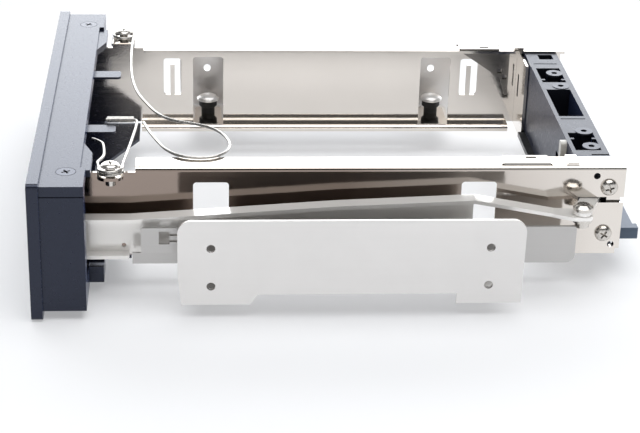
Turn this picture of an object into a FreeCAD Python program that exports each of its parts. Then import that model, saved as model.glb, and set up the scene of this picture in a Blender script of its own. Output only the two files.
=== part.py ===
import FreeCAD, Part
import math
import os
import re

import Sketcher
from FreeCAD import Placement, Rotation, Vector

# Hot swap drive cage for one 3.5 inch drive, to fit a 5.25 inch bay.
# X runs across the cage, +Y to the rear and +Z up. The origin is the middle of the
# bounding box at the bottom. Lengthwise places are measured from the bezel's seat, the
# rear face of its lip, and shifted by SEAT.

SIZES = {
    # Bezel
    "lip_height": 42.0,
    "lip_depth": 3.3,
    "lip_round": 1.3,
    "body_width": 146.0,
    "lip_overhang": 1.3,
    "lip_width": "=body_width + 2 * lip_overhang",
    "body_bottom": 2.5,
    "body_top": 41.0,
    "body_depth": 10.8,
    "block_depth": 12.3,
    "block_width": 13.5,
    "groove_height": 37.6,
    "groove_width": 0.5,
    "groove_cut": 0.35,
    "bay_inset": 21.0,
    "bay_half": "=body_width / 2 - bay_inset",
    "bay_floor": 9.3,
    "bay_top": 37.1,
    "pocket_wall": 6.5,
    "pocket_side": "=body_width / 2 - pocket_wall",
    "pocket_front": 2.0,
    "finger_inset": 50.0,
    "finger_x": "=body_width / 2 - finger_inset",
    "finger_width": 5.6,
    "finger_reach": 19.3,
    "finger_thick": 0.9,
    "apron_reach": 24.4,
    "apron_thick": 1.0,
    "hook_width": 9.0,
    "hook_reach": 16.5,
    "hook_height": 5.0,
    # Door and its hinge
    "hinge_inset": 15.5,
    "hinge_x": "=body_width / 2 - hinge_inset",
    "hinge_y": 3.7,
    "door_round": 7.0,
    "door_skin": 2.5,
    "door_gap": 0.35,
    "door_inset": 19.5,
    "door_edge": "=body_width / 2 - door_inset",
    "door_low": 4.4,
    "door_high": 36.6,
    "knuckle_low": 11.4,
    "knuckle_high": 26.8,
    "knuckle_wall": 1.1,
    "hinge_pin": 1.5,
    "hinge_reach": 5.4,
    "crank_offset": 2.62,
    "crank_pin": 1.0,
    "crank_bury": 2.6,
    "running": 0.05,
    "vent_width": 2.2,
    "vent_length": 11.0,
    "vent_pitch": 6.5,
    "scoop_width": 7.0,
    "scoop_height": 17.0,
    "scoop_depth": 1.3,
    "rib": 1.0,
    # Release button and lamps
    "button_inset": 9.1,
    "button_x": "=body_width / 2 - button_inset",
    "button_z": 20.0,
    "button_width": 10.0,
    "button_height": 16.0,
    "button_depth": 6.5,
    "button_travel": 2.5,
    "lamp_radius": 1.4,
    "lamp_z": 32.6,
    "lamp_drop": 25.2,
    # Side rails
    "sheet": 0.9,
    "bend": 1.4,
    "rail_inset": 20.3,
    "rail_half": "=body_width / 2 - rail_inset",
    "rail_top": 37.9,
    "rail_floor": 10.5,
    "rail_front": 2.9,
    "rail_rear": 168.5,
    "top_flange": 7.4,
    "top_start": 26.0,
    "low_flange": 6.7,
    "low_start": 25.0,
    "low_lip": 2.2,
    "web_front_top": 36.4,
    "ear_bottom": 11.6,
    "hole_front": 47.4,
    "hole_step": 79.24,
    "hole_low": 10.0,
    "hole_rise": 11.84,
    "tab_front": 47.6,
    "tab_step": 77.9,
    "window_width": 10.3,
    "window_top": 33.2,
    "window_round": 1.0,
    "slot_front": 35.5,
    "slot_step": 101.6,
    "slot_width": 6.0,
    "slot_low": 19.5,
    "slot_top": 32.7,
    "slot_finger": 1.5,
    "tab_inset": 9.6,
    "tab_reach": "=body_width / 2 - tab_inset",
    "tab_width": 9.2,
    "tab_round": 2.0,
    "front_tab_inset": 6.8,
    "front_tab_reach": "=body_width / 2 - front_tab_inset",
    "post_tab_inset": 12.4,
    "post_tab_reach": "=body_width / 2 - post_tab_inset",
    "post_tab_width": 7.4,
    # Screws, posts and wires
    "bezel_screw_inset": 10.5,
    "bezel_screw_x": "=body_width / 2 - bezel_screw_inset",
    "bezel_screw_y": 7.0,
    "bezel_screw_head": 2.8,
    "bezel_screw_sink": 1.5,
    "screw": 1.5,
    "slip": 0.1,
    "post_inset": 16.2,
    "post_x": "=body_width / 2 - post_inset",
    "post_y": 19.1,
    "post_head": 2.75,
    "post_head_height": 1.1,
    "post_end": 33.6,
    "coil_radius": 2.85,
    "wire": 0.52,
    "rear_upper_y": "=rail_rear - 4.7",
    "rear_upper_z": 31.4,
    "rear_lower_y": "=rail_rear - 5.2",
    "rear_lower_z": 16.6,
    "rear_head": 2.5,
    "rear_head_height": 1.7,
    "rear_screw_length": 5.6,
    "spare_upper_y": "=rail_rear - 8.5",
    "spare_upper_z": 34.9,
    "spare_lower_y": "=rail_rear - 2.6",
    "spare_lower_z": 12.9,
    "spare_hole": 1.0,
    # Ejector link and lever
    "link_inset": 16.5,
    "link_x": "=body_width / 2 - link_inset",
    "link_width": 4.5,
    "link_thick": 1.1,
    "link_low": 12.8,
    "link_mid": 17.6,
    "link_front": 0.2,
    "link_shoulder": 24.5,
    "link_middle": 83.0,
    "link_leg_end": 123.4,
    "link_head": 25.2,
    "link_rise": 29.2,
    "link_peak": 31.0,
    "yoke_slack": 0.3,
    "yoke_rim": 0.9,
    "rivet_inset": 12.2,
    "rivet_x": "=body_width / 2 - rivet_inset",
    "rivet_y": "=rail_rear - 13.7",
    "rivet": 1.2,
    "rivet_head": 2.9,
    "lever_low": 26.7,
    "lever_thick": 1.2,
    "lever_half": 2.6,
    "lever_pin_inset": 25.0,
    "lever_pin_x": "=body_width / 2 - lever_pin_inset",
    "lever_pin_y": "=rail_rear - 8.2",
    "lever_pin": 1.25,
    "pin_bury": 4.0,
    "nose_x": "=lever_pin_x / 2",
    "nose_y": "=rail_rear - 16.3",
    "notch_front": "=rail_rear - 13.6",
    "notch_rear": "=rail_rear - 4.9",
    "notch_slack": 0.3,
    # Mounting brackets, guards and dampers
    "plate_half": "=body_width / 2",
    "plate_front": 38.0,
    "plate_rear": 136.6,
    "plate_top": 30.4,
    "plate_round": 4.0,
    "plate_foot": 4.2,
    "plate_bottom": 7.3,
    "foot_front_end": 58.6,
    "foot_slope": 2.2,
    "foot_rear_start": 117.6,
    "mount_hole": 1.25,
    "base_inset": 17.8,
    "base_inner": "=body_width / 2 - base_inset",
    "base_front": 42.0,
    "base_rear": 132.0,
    "guard_inset": 9.8,
    "guard_x": "=body_width / 2 - guard_inset",
    "guard_front": 25.1,
    "wing_front": 27.6,
    "fold_end": 41.0,
    "fold_rise": 3.7,
    "fold_shift": 0.7,
    "guard_rear": "=rail_rear - 15.7",
    "guard_low": 12.6,
    "guard_top": 24.1,
    "keyhole_y": 32.7,
    "keyhole_z": 19.0,
    "keyhole_size": 3.0,
    "keyhole_rise": 4.0,
    "key_gap": 0.7,
    "damper_inset": 14.0,
    "damper_x": "=body_width / 2 - damper_inset",
    "damper_radius": 3.1,
    "damper_neck": 2.0,
    "damper_top": 15.2,
    "disc_radius": 3.9,
    "disc_height": 1.2,
    # Guide springs
    "guide_front": "=rail_rear - 35.9",
    "guide_rear": "=rail_rear - 22.2",
    "guide_thick": 0.6,
    "guide_inset": 27.4,
    "guide_inner": "=body_width / 2 - guide_inset",
    # Rear bracket, holder, board and sockets
    "bracket_front": "=rail_rear - 14.9",
    "bracket_tab": "=bracket_front - 2.3",
    "bracket_rear": "=rail_rear - 0.9",
    "bracket_top": 36.4,
    "bracket_wing": 17.0,
    "low_end": "=bracket_front - 2.6",
    "bracket_sill": 4.0,
    "holder_front": "=bracket_front + 1.2",
    "holder_rear": "=holder_front + 10.8",
    "holder_top": 37.3,
    "holder_wall": 1.3,
    "holder_floor": 20.5,
    "boss_radius": 2.35,
    "boss_hole": 0.9,
    "board_low": 11.4,
    "board_thick": 1.6,
    "board_front": "=bracket_front - 1.2",
    "board_rear": "=board_front + 13.6",
    "board_left": "=rail_half - 18.7",
    "board_right": "=rail_half - 6.7",
    "plug_width": 41.0,
    "plug_x": "=rail_half - 10.7 - plug_width",
    "plug_front": "=board_front - 5",
    "plug_rear": "=board_front + 2",
    "plug_height": 5.4,
    "socket_width": 42.0,
    "socket_x": "=rail_half - 7.7 - socket_width",
    "socket_low": 10.9,
    "socket_height": 3.6,
    "socket_length": 9.9,
    "socket_ear": 3.0,
    "socket_step": 1.2,
    "rear_reach": "=board_rear + socket_length",
}

SEAT = "(lip_depth - rear_reach) / 2"

document = FreeCAD.newDocument("drive_cage")
sheet = document.addObject("Spreadsheet::Sheet", "Sizes")
for row, (alias, size) in enumerate(SIZES.items(), start=1):
    sheet.set(f"A{row}", alias)
    sheet.set(f"B{row}", str(size))
    sheet.setAlias(f"B{row}", alias)
document.recompute()


def formula(text):
    """Points each size's name in a formula at its cell."""
    names = r"\b(" + "|".join(SIZES) + r")\b"
    return re.sub(names, r"Sizes.\1", str(text))


def bind(item, prop, text):
    item.setExpression(prop, formula(text))


def place(item, x, y, z):
    """Binds a piece's position. y counts from the bezel's seat."""
    bind(item, "Placement.Base.x", x)
    bind(item, "Placement.Base.y", f"{y} + {SEAT}")
    bind(item, "Placement.Base.z", z)


def box(name, x, y, z):
    """A block between two values on each axis."""
    item = document.addObject("Part::Box", name)
    for prop, span in (("Length", x), ("Width", y), ("Height", z)):
        bind(item, prop, f"({span[1]}) - ({span[0]})")
    place(item, x[0], y[0], z[0])
    return item


TURNS = {
    "X": Rotation(Vector(0, 1, 0), 90),
    "Y": Rotation(Vector(1, 0, 0), -90),
    "Z": Rotation(),
}


def rod(name, axis, start, radius, length):
    """A cylinder that runs from start along an axis."""
    item = document.addObject("Part::Cylinder", name)
    bind(item, "Radius", radius)
    bind(item, "Height", length)
    item.Placement = Placement(Vector(), TURNS[axis])
    place(item, *start)
    return item


def cone(name, axis, start, radius_start, radius_end, length):
    item = document.addObject("Part::Cone", name)
    bind(item, "Radius1", radius_start)
    bind(item, "Radius2", radius_end)
    bind(item, "Height", length)
    item.Placement = Placement(Vector(), TURNS[axis])
    place(item, *start)
    return item


def fuse(name, pieces):
    item = document.addObject("Part::MultiFuse", name)
    item.Shapes = pieces
    item.Refine = True
    return item


def cut(name, base, tools):
    item = document.addObject("Part::Cut", name)
    item.Base = base
    item.Tool = tools[0] if len(tools) == 1 else fuse(name + "_tools", tools)
    item.Refine = True
    return item


def common(name, first, second):
    item = document.addObject("Part::Common", name)
    item.Base = first
    item.Tool = second
    return item


def mirror(name, source):
    """The same piece on the other side of the cage."""
    item = document.addObject("Part::Mirroring", name)
    item.Source = source
    item.Normal = Vector(1, 0, 0)
    return item


def group(name, pieces):
    item = document.addObject("Part::Compound", name)
    item.Links = pieces
    return item


def plate(name, plane, level, thick, corners, holes=()):
    """A flat piece of the given outline, with rounded corners and round holes.

    XY outlines hold x and y, XZ outlines x and z, YZ outlines y and z. level is the lower
    face's place on the third axis. A corner is (u, v) or (u, v, radius).
    """
    body = document.addObject("PartDesign::Body", name)
    origin = next(o for o in body.Origin.OriginFeatures if o.Role == plane + "_Plane")
    sketch = body.newObject("Sketcher::SketchObject", name + "_outline")
    sketch.AttachmentSupport = [(origin, "")]
    sketch.MapMode = "FlatFace"
    if plane == "XZ":
        bind(sketch, "AttachmentOffset.Base.z", f"-({level} + {thick} + {SEAT})")
    else:
        bind(sketch, "AttachmentOffset.Base.z", level)

    def pin(geometry, point, u, v):
        across = f"{u} + {SEAT}" if plane == "YZ" else u
        up = f"{v} + {SEAT}" if plane == "XY" else v
        for kind, text in (("DistanceX", across), ("DistanceY", up)):
            number = sketch.addConstraint(Sketcher.Constraint(kind, -1, 1, geometry, point, 1.0))
            bind(sketch, f"Constraints[{number}]", text)

    count = len(corners)
    ring = []
    for step in range(count):
        angle = 2 * math.pi * step / count
        ring.append(Vector(50 * math.cos(angle), 50 * math.sin(angle), 0))
    for step in range(count):
        sketch.addGeometry(Part.LineSegment(ring[step], ring[(step + 1) % count]), False)
    for step in range(count):
        after = (step + 1) % count
        sketch.addConstraint(Sketcher.Constraint("Coincident", step, 2, after, 1))
    for step, corner in enumerate(corners):
        pin(step, 1, corner[0], corner[1])
    for u, v, radius in holes:
        circle = sketch.addGeometry(Part.Circle(Vector(1, 1, 0), Vector(0, 0, 1), 1.0), False)
        number = sketch.addConstraint(Sketcher.Constraint("Radius", circle, 1.0))
        bind(sketch, f"Constraints[{number}]", radius)
        pin(circle, 3, u, v)

    pad = body.newObject("PartDesign::Pad", name + "_pad")
    pad.Profile = sketch
    bind(pad, "Length", thick)
    document.recompute()

    radii = []
    for corner in corners:
        if len(corner) > 2 and corner[2] not in radii:
            radii.append(corner[2])
    tip = pad
    for step, radius in enumerate(radii):
        spots = []
        for number, corner in enumerate(corners):
            if len(corner) > 2 and corner[2] == radius:
                spots.append(sketch.Placement.multVec(sketch.Geometry[number].StartPoint))
        edges = corner_edges(tip.Shape, spots, sketch.Placement.Rotation.multVec(Vector(0, 0, 1)))
        fillet = body.newObject("PartDesign::Fillet", f"{name}_round_{step}")
        fillet.Base = (tip, edges)
        bind(fillet, "Radius", radius)
        document.recompute()
        tip = fillet
    body.Tip = tip
    return body


def corner_edges(shape, spots, along):
    """Names of the straight edges that run through the given corners of an outline."""
    names = []
    for number, edge in enumerate(shape.Edges, start=1):
        if len(edge.Vertexes) != 2:
            continue
        start, end = (vertex.Point for vertex in edge.Vertexes)
        run = end - start
        if run.Length < 1e-6 or run.cross(along).Length > 1e-6 * run.Length:
            continue
        for spot in spots:
            if (start - spot).cross(along).Length < 1e-6:
                names.append(f"Edge{number}")
                break
    return names


def revolve(name, centre, profile):
    """A turned piece about a vertical axis. The profile is a list of (radius, z)."""
    body = document.addObject("PartDesign::Body", name)
    origin = next(o for o in body.Origin.OriginFeatures if o.Role == "XZ_Plane")
    sketch = body.newObject("Sketcher::SketchObject", name + "_profile")
    sketch.AttachmentSupport = [(origin, "")]
    sketch.MapMode = "FlatFace"
    count = len(profile)
    for step in range(count):
        angle = 2 * math.pi * step / count
        after = 2 * math.pi * (step + 1) / count
        start = Vector(60 + 20 * math.cos(angle), 20 * math.sin(angle), 0)
        end = Vector(60 + 20 * math.cos(after), 20 * math.sin(after), 0)
        sketch.addGeometry(Part.LineSegment(start, end), False)
    for step in range(count):
        sketch.addConstraint(Sketcher.Constraint("Coincident", step, 2, (step + 1) % count, 1))
    for step, (radius, height) in enumerate(profile):
        for kind, text in (("DistanceX", radius), ("DistanceY", height)):
            number = sketch.addConstraint(Sketcher.Constraint(kind, -1, 1, step, 1, 1.0))
            bind(sketch, f"Constraints[{number}]", text)
    turn = body.newObject("PartDesign::Revolution", name + "_turn")
    turn.Profile = sketch
    turn.ReferenceAxis = (sketch, ["V_Axis"])
    turn.Angle = 360
    document.recompute()
    body.Tip = turn
    place(body, *centre)
    return body


def size(name):
    return float(sheet.get(name))


def wire_path(points, radii):
    """Straight runs joined by tangent arcs, one radius for each inner point."""
    edges = []
    start = points[0]
    for step in range(1, len(points) - 1):
        corner = points[step]
        back = (points[step - 1] - corner).normalize()
        ahead = (points[step + 1] - corner).normalize()
        half = back.getAngle(ahead) / 2
        reach = radii[step - 1] / math.tan(half)
        middle = (back + ahead).normalize()
        centre = corner + middle * (radii[step - 1] / math.sin(half))
        first = corner + back * reach
        last = corner + ahead * reach
        edges.append(Part.LineSegment(start, first).toShape())
        edges.append(Part.Arc(first, centre - middle * radii[step - 1], last).toShape())
        start = last
    edges.append(Part.LineSegment(start, points[-1]).toShape())
    return Part.Wire(edges)


def tube(path, radius):
    """A round wire along a path."""
    start = path.Edges[0].valueAt(path.Edges[0].FirstParameter)
    heading = path.Edges[0].tangentAt(path.Edges[0].FirstParameter)
    ring = Part.Wire([Part.Circle(start, heading, radius).toShape()])
    return path.makePipeShell([ring], True, True)


def both(name, source):
    """Labels a right-hand piece and adds its left-hand twin."""
    source.Label = name + "_right"
    twin = mirror(name + "_twin", source)
    twin.Label = name + "_left"
    return [source, twin]


def bezel():
    """The moulded front: lip, hollow body, end blocks, fingers, aprons and rear hooks."""
    half = "lip_width / 2"
    lip = plate("lip", "XZ", "-lip_depth", "lip_depth", [
        (f"-{half}", "0", "lip_round"),
        (half, "0", "lip_round"),
        (half, "lip_height", "lip_round"),
        (f"-{half}", "lip_height", "lip_round"),
    ])
    side = "body_width / 2"
    inner = f"{side} - block_width"
    shell = plate("shell", "XY", "body_bottom", "body_top - body_bottom", [
        (f"-{side}", "0"),
        (side, "0"),
        (side, "block_depth"),
        (inner, "block_depth"),
        (inner, "body_depth"),
        (f"-({inner})", "body_depth"),
        (f"-({inner})", "block_depth"),
        (f"-{side}", "block_depth"),
    ])
    added = [lip, shell]
    wedge = plate("wedge", "XY", "rail_top + slip", "body_top - 1 - rail_top", [
        ("bay_half - 15", "body_depth - 1"),
        (inner, "body_depth - 1"),
        (inner, "block_depth + 1.3"),
        ("bay_half - 5", "block_depth + 1.3"),
    ])
    finger = plate("finger", "XY", "bay_top - finger_thick + 0.7", "finger_thick", [
        ("finger_x - finger_width / 2", "body_depth - 1"),
        ("finger_x + finger_width / 2", "body_depth - 1"),
        ("finger_x + finger_width / 2", "finger_reach", "1.2"),
        ("finger_x - finger_width / 2", "finger_reach", "1.2"),
    ])
    apron = plate("apron", "XY", "bay_floor - apron_thick", "apron_thick", [
        ("17", "body_depth - 1"),
        ("rail_half - 1.5", "body_depth - 1"),
        ("rail_half - 1.5", "apron_reach"),
        ("37.5", "apron_reach"),
        ("17", "block_depth + 1.7"),
    ])
    hook = box("hook", ("rail_half - 5.5", "rail_half - 5.5 + hook_width"),
               ("body_depth - 1", "hook_reach"), ("body_bottom + 0.5", "body_bottom + 0.5 + hook_height"))
    sill = box("sill", ("bay_half - 2", f"{inner} + 1"), ("body_depth - 1", "block_depth"),
               ("body_bottom", "bay_floor"))
    for piece in (wedge, finger, apron, hook, sill):
        added.append(piece)
        added.append(mirror(piece.Name + "_twin", piece))
    solid = fuse("bezel_solid", added)

    jamb = "hinge_x + door_round + door_gap"
    tools = [
        box("door_recess", ("-door_edge - door_gap", jamb), ("-lip_depth - 1", "0.4"),
            ("door_low - 0.3", "bay_top")),
        box("drive_way", ("-bay_half", "bay_half"), ("-1", "block_depth + 10"), ("bay_floor", "bay_top")),
        box("hinge_way", ("hinge_x - 4", jamb), ("0", "hinge_y"), ("door_low - 0.3", "bay_top")),
        rod("hinge_round", "Z", ("hinge_x", "hinge_y", "door_low - 0.3"),
            "door_round + door_gap", "bay_top - door_low + 0.3"),
        box("pocket_right", ("bay_half - 1", "pocket_side"), ("hinge_y", "block_depth + 5"),
            ("bay_floor", "bay_top")),
        box("pocket_left", ("-pocket_side", "1 - bay_half"), ("pocket_front", "block_depth + 5"),
            ("bay_floor", "bay_top")),
        box("button_way",
            ("-button_x - button_width / 2 - running * 4", "-button_x + button_width / 2 + running * 4"),
            ("-lip_depth - 1", "button_depth + 1"),
            ("button_z - button_height / 2 - running * 4", "button_z + button_height / 2 + running * 4")),
        rod("pin_hole_low", "Z", ("hinge_x", "hinge_y", "body_bottom - 1"), "hinge_pin", "lip_height"),
    ]
    for step in range(2):
        height = f"lamp_z - {step} * lamp_drop"
        tools.append(rod(f"lamp_hole_{step}", "Y", ("-button_x", "-lip_depth - 1", height),
                         "lamp_radius", "pocket_front + lip_depth + 2"))
    for sign, tag in (("", "right"), ("-", "left")):
        spot = f"{sign}bezel_screw_x"
        low, high = ("bay_half - 1", "front_tab_reach + 0.4")
        span = (low, high) if sign == "" else (f"-({high})", f"-({low})")
        tools.append(box(f"tab_room_{tag}", span, ("rail_front - 0.4", "block_depth + 2"),
                         ("bay_top - 0.1", "rail_top + slip")))
        tools.append(rod(f"sink_hole_{tag}", "Z", (spot, "bezel_screw_y", "bay_top"),
                         "screw + slip", "body_top - bay_top + 1"))
        tools.append(cone(f"sink_{tag}", "Z", (spot, "bezel_screw_y", "body_top - bezel_screw_sink - slip"),
                          "screw + slip", "bezel_screw_head + slip + 0.1", "bezel_screw_sink + slip + 0.1"))
        face = ("body_width / 2 - groove_cut", "body_width / 2 + 1")
        band = face if sign == "" else (f"-({face[1]})", f"-({face[0]})")
        tools.append(box(f"groove_{tag}", band, ("0", "block_depth + 1"),
                         ("groove_height", "groove_height + groove_width")))
    frame = cut("bezel_frame", solid, tools)
    frame.Label = "bezel_frame"
    return [frame]


def door():
    """The swing door with its two knuckles, vents and finger scoop."""
    panel = plate("panel", "XZ", "-lip_depth", "door_skin", [
        ("-door_edge", "door_low", "1.5"),
        ("hinge_x", "door_low"),
        ("hinge_x", "door_high"),
        ("-door_edge", "door_high", "1.5"),
    ])
    pieces = [panel]
    spans = (("door_low", "knuckle_low"), ("knuckle_high", "door_high"))
    for step, (low, high) in enumerate(spans):
        tall = f"{high} - {low}"
        quarter = box(f"quarter_{step}", ("hinge_x - running", "hinge_x + door_round"),
                      ("hinge_y - door_round", "hinge_y"), (low, high))
        disc = rod(f"disc_{step}", "Z", ("hinge_x", "hinge_y", low), "door_round", tall)
        pieces.append(common(f"nose_{step}", disc, quarter))
        pieces.append(box(f"neck_{step}", ("hinge_x - hinge_pin - knuckle_wall", "hinge_x"),
                          ("hinge_y - door_round", "hinge_y"), (low, high)))
        pieces.append(rod(f"eye_{step}", "Z", ("hinge_x", "hinge_y", low),
                          "hinge_pin + knuckle_wall", tall))
    inner = ("door_skin - lip_depth", "door_skin - lip_depth + rib")
    for step in range(3):
        height = f"bay_floor + 0.7 + {step} * (door_high - bay_floor - 4) / 2"
        pieces.append(box(f"rib_{step}", ("5 - door_edge", "hinge_x - 7"), inner, (height, f"{height} + 1")))
    for step in range(4):
        across = f"5 - door_edge + {step} * (hinge_x - 13 + door_edge) / 3"
        pieces.append(box(f"cross_rib_{step}", (across, f"{across} + 1"), inner,
                          ("bay_floor + 0.7", "door_high - 3")))
    blank = fuse("door_blank", pieces)
    tools = [
        box("scoop", ("-door_edge - 1", "scoop_width - door_edge"),
            ("-lip_depth - 1", "scoop_depth - lip_depth"),
            ("button_z - scoop_height / 2", "button_z + scoop_height / 2")),
        rod("pin_bore", "Z", ("hinge_x", "hinge_y", "door_low - 1"), "hinge_pin + running",
            "door_high - door_low + 2"),
        rod("crank_bore", "Z",
            ("hinge_x + crank_offset", "hinge_y - crank_offset", "knuckle_low - crank_bury"), "crank_pin",
             "knuckle_high - knuckle_low + 2 * crank_bury"),
    ]
    for line in range(2):
        for step in range(7):
            across = f"-3 * vent_pitch + {step} * vent_pitch"
            low = f"door_low + 4.8 + {line} * (vent_length + 1.6)"
            tools.append(box(f"vent_{line}_{step}", (across, f"{across} + vent_width"),
                             ("-lip_depth - 1", "door_skin - lip_depth + rib + 1"),
                             (low, f"{low} + vent_length")))
    leaf = cut("door", blank, tools)
    leaf.Label = "door"
    return [leaf]


def door_pins():
    """Two hinge pins pressed into the bezel, and the crank pin between the knuckles."""
    low = rod("hinge_pin_low", "Z", ("hinge_x", "hinge_y", "body_bottom + 0.2"), "hinge_pin",
              "hinge_reach + 1.4")
    high = rod("hinge_pin_high", "Z", ("hinge_x", "hinge_y", "body_top - 2 - hinge_reach"),
               "hinge_pin", "hinge_reach + 1.4")
    pins = group("hinge_pins", [low, high])
    pins.Label = "hinge_pins"
    crank = rod("crank_pin", "Z",
                ("hinge_x + crank_offset", "hinge_y - crank_offset", "knuckle_low - crank_bury"), "crank_pin",
                "knuckle_high - knuckle_low + 2 * crank_bury")
    crank.Label = "crank_pin"
    return [pins, crank]


def button_and_lamps():
    """The release button in the left end block, and two lamp lenses."""
    cap = plate("button_cap", "XZ", "-lip_depth", "button_depth", [
        ("-button_x - button_width / 2", "button_z - button_height / 2", "1.2"),
        ("-button_x + button_width / 2", "button_z - button_height / 2", "1.2"),
        ("-button_x + button_width / 2", "button_z + button_height / 2", "1.2"),
        ("-button_x - button_width / 2", "button_z + button_height / 2", "1.2"),
    ])
    hollow = box("button_hollow",
                 ("-button_x - button_width / 2 + 1.2", "-button_x + button_width / 2 - 1.2"),
                 ("1.4 - lip_depth", "button_depth"),
                 ("button_z - button_height / 2 + 1.2", "button_z + button_height / 2 - 1.2"))
    stop = box("button_stop", ("0.2 - pocket_side", "-button_x + button_width / 2 + 1.2"),
               ("pocket_front + 0.05", "pocket_front + 1.2"),
               ("button_z - button_height / 2 - 1.2", "button_z + button_height / 2 + 1.2"))
    button = cut("release_button", fuse("button_solid", [cap, stop]), [hollow])
    button.Label = "release_button"
    lenses = []
    for step in range(2):
        height = f"lamp_z - {step} * lamp_drop"
        lenses.append(rod(f"lens_{step}", "Y", ("-button_x", "-lip_depth", height), "lamp_radius - 0.02",
                          "pocket_front + lip_depth + 1"))
    lamps = group("lamp_lenses", lenses)
    lamps.Label = "lamp_lenses"
    return [button, lamps]


def rails():
    """Folded side rails: C section, windows with damper tabs, screw tabs and rear holes."""
    inside = "rail_half - sheet"
    free = "rail_half - top_flange"
    lip = "rail_half - low_flange"
    profile = plate("rail_profile", "XZ", "rail_front", "rail_rear - rail_front", [
        (free, "rail_top - sheet"),
        (inside, "rail_top - sheet", "bend - sheet"),
        (inside, "rail_floor", "bend - sheet"),
        (lip, "rail_floor", "bend"),
        (lip, "rail_floor - low_lip"),
        (f"{lip} + sheet", "rail_floor - low_lip"),
        (f"{lip} + sheet", "rail_floor - sheet", "bend - sheet"),
        ("rail_half", "rail_floor - sheet", "bend"),
        ("rail_half", "rail_top", "bend"),
        (free, "rail_top"),
    ])
    front = "post_y - post_tab_width / 2"
    back = "post_y + post_tab_width / 2"
    trims = [
        box("trim_flange", (f"{free} - 1", inside), ("0", "top_start"), ("web_front_top", "rail_top + 1")),
        box("trim_gap", ("0", "rail_half + 1"), ("block_depth - 0.6", front),
            ("web_front_top", "rail_top + 1")),
        box("trim_back", ("0", "rail_half + 1"), (back, "top_start"), ("web_front_top", "rail_top + 1")),
        box("trim_low_front", ("0", inside), ("0", "low_start"), ("0", "rail_floor + bend")),
        box("trim_low_rear", ("0", inside), ("low_end", "rail_rear + 1"), ("0", "rail_floor + bend")),
        box("trim_ear", ("0", "rail_half + 1"), ("guard_rear + 1", "rail_rear + 1"), ("0", "ear_bottom")),
    ]
    shortened = cut("rail_shortened", profile, trims)
    openings = []
    for step in range(2):
        across = f"tab_front + {step} * tab_step"
        openings.append(plate(f"window_{step}", "YZ", "rail_half - 3", "6", [
            (f"{across} - window_width / 2", "rail_floor"),
            (f"{across} + window_width / 2", "rail_floor"),
            (f"{across} + window_width / 2", "window_top", "window_round"),
            (f"{across} - window_width / 2", "window_top", "window_round"),
        ]))
    for tag in ("upper", "lower"):
        openings.append(rod(f"rear_hole_{tag}", "X", ("rail_half - 3", f"rear_{tag}_y", f"rear_{tag}_z"),
                         "screw + slip", "6"))
        openings.append(rod(f"spare_hole_{tag}", "X", ("rail_half - 3", f"spare_{tag}_y", f"spare_{tag}_z"),
                         "spare_hole", "6"))
    openings.append(box("guide_slot", ("rail_half - sheet - 1.5", "rail_half - sheet - 0.1"),
                     ("guide_front - 0.6", "guide_rear + 0.6"), ("rail_top - sheet - 1", "rail_top + 1")))
    openings.append(box("hook_slot", ("rail_half - 2 * sheet - 0.2", "rail_half - sheet + 0.1"),
                     ("bracket_tab - 0.1", "bracket_front + 1.1"), ("rail_top - sheet - 1", "rail_top + 1")))
    trimmed = cut("rail_trimmed", shortened, openings)

    tabs = [trimmed]
    tabs.append(plate("front_tab", "XY", "rail_top - sheet", "sheet", [
        (f"{inside} + 0.4", "rail_front"),
        ("front_tab_reach", "rail_front", "2"),
        ("front_tab_reach", "block_depth - 0.6", "2"),
        (f"{inside} + 0.4", "block_depth - 0.6"),
    ], [("bezel_screw_x", "bezel_screw_y", "screw + 0.02")]))
    tabs.append(plate("post_tab", "XY", "rail_top - sheet", "sheet", [
        (f"{inside} + 0.4", front),
        ("post_tab_reach", front, "2.5"),
        ("post_tab_reach", back, "2.5"),
        (f"{inside} + 0.4", back),
    ], [("post_x", "post_y", "screw + 0.02")]))
    for step in range(2):
        across = f"tab_front + {step} * tab_step"
        tabs.append(plate(f"damper_tab_{step}", "XY", "rail_floor - sheet", "sheet", [
            (f"{inside} + 0.2", f"{across} - tab_width / 2"),
            ("tab_reach", f"{across} - tab_width / 2", "tab_round"),
            ("tab_reach", f"{across} + tab_width / 2", "tab_round"),
            (f"{inside} + 0.2", f"{across} + tab_width / 2"),
        ], [("damper_x", across, "damper_neck + slip")]))
    blank = fuse("rail_blank", tabs)

    notch = box("lever_notch", ("rail_half - 3", "rail_half + 3"), ("notch_front", "rail_rear + 1"),
                ("lever_low - notch_slack", "lever_low + lever_thick + notch_slack"))
    pin_room = rod("pin_room", "Z", ("hinge_x", "hinge_y", "web_front_top"), "hinge_pin + 0.4", "3")
    right = cut("side_rail_right", blank, [notch, pin_room])
    right.Label = "side_rail_right"

    slots = []
    for step in range(2):
        across = f"slot_front + {step} * slot_step"
        hole = plate(f"slot_{step}", "YZ", "rail_half - 3", "6", [
            (f"{across} - slot_width / 2", "slot_low", "window_round"),
            (f"{across} + slot_width / 2", "slot_low", "window_round"),
            (f"{across} + slot_width / 2", "slot_top", "window_round"),
            (f"{across} - slot_width / 2", "slot_top", "window_round"),
        ])
        finger = box(f"slot_finger_{step}", ("0", "rail_half + 9"),
                     (f"{across} - slot_finger / 2", f"{across} + slot_finger / 2"), ("0", "slot_top - 2.3"))
        slots.append(cut(f"slot_open_{step}", hole, [finger]))
    slotted = cut("rail_slotted", blank, slots)
    left = mirror("side_rail_left", slotted)
    left.Label = "side_rail_left"
    return [right, left]


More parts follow.
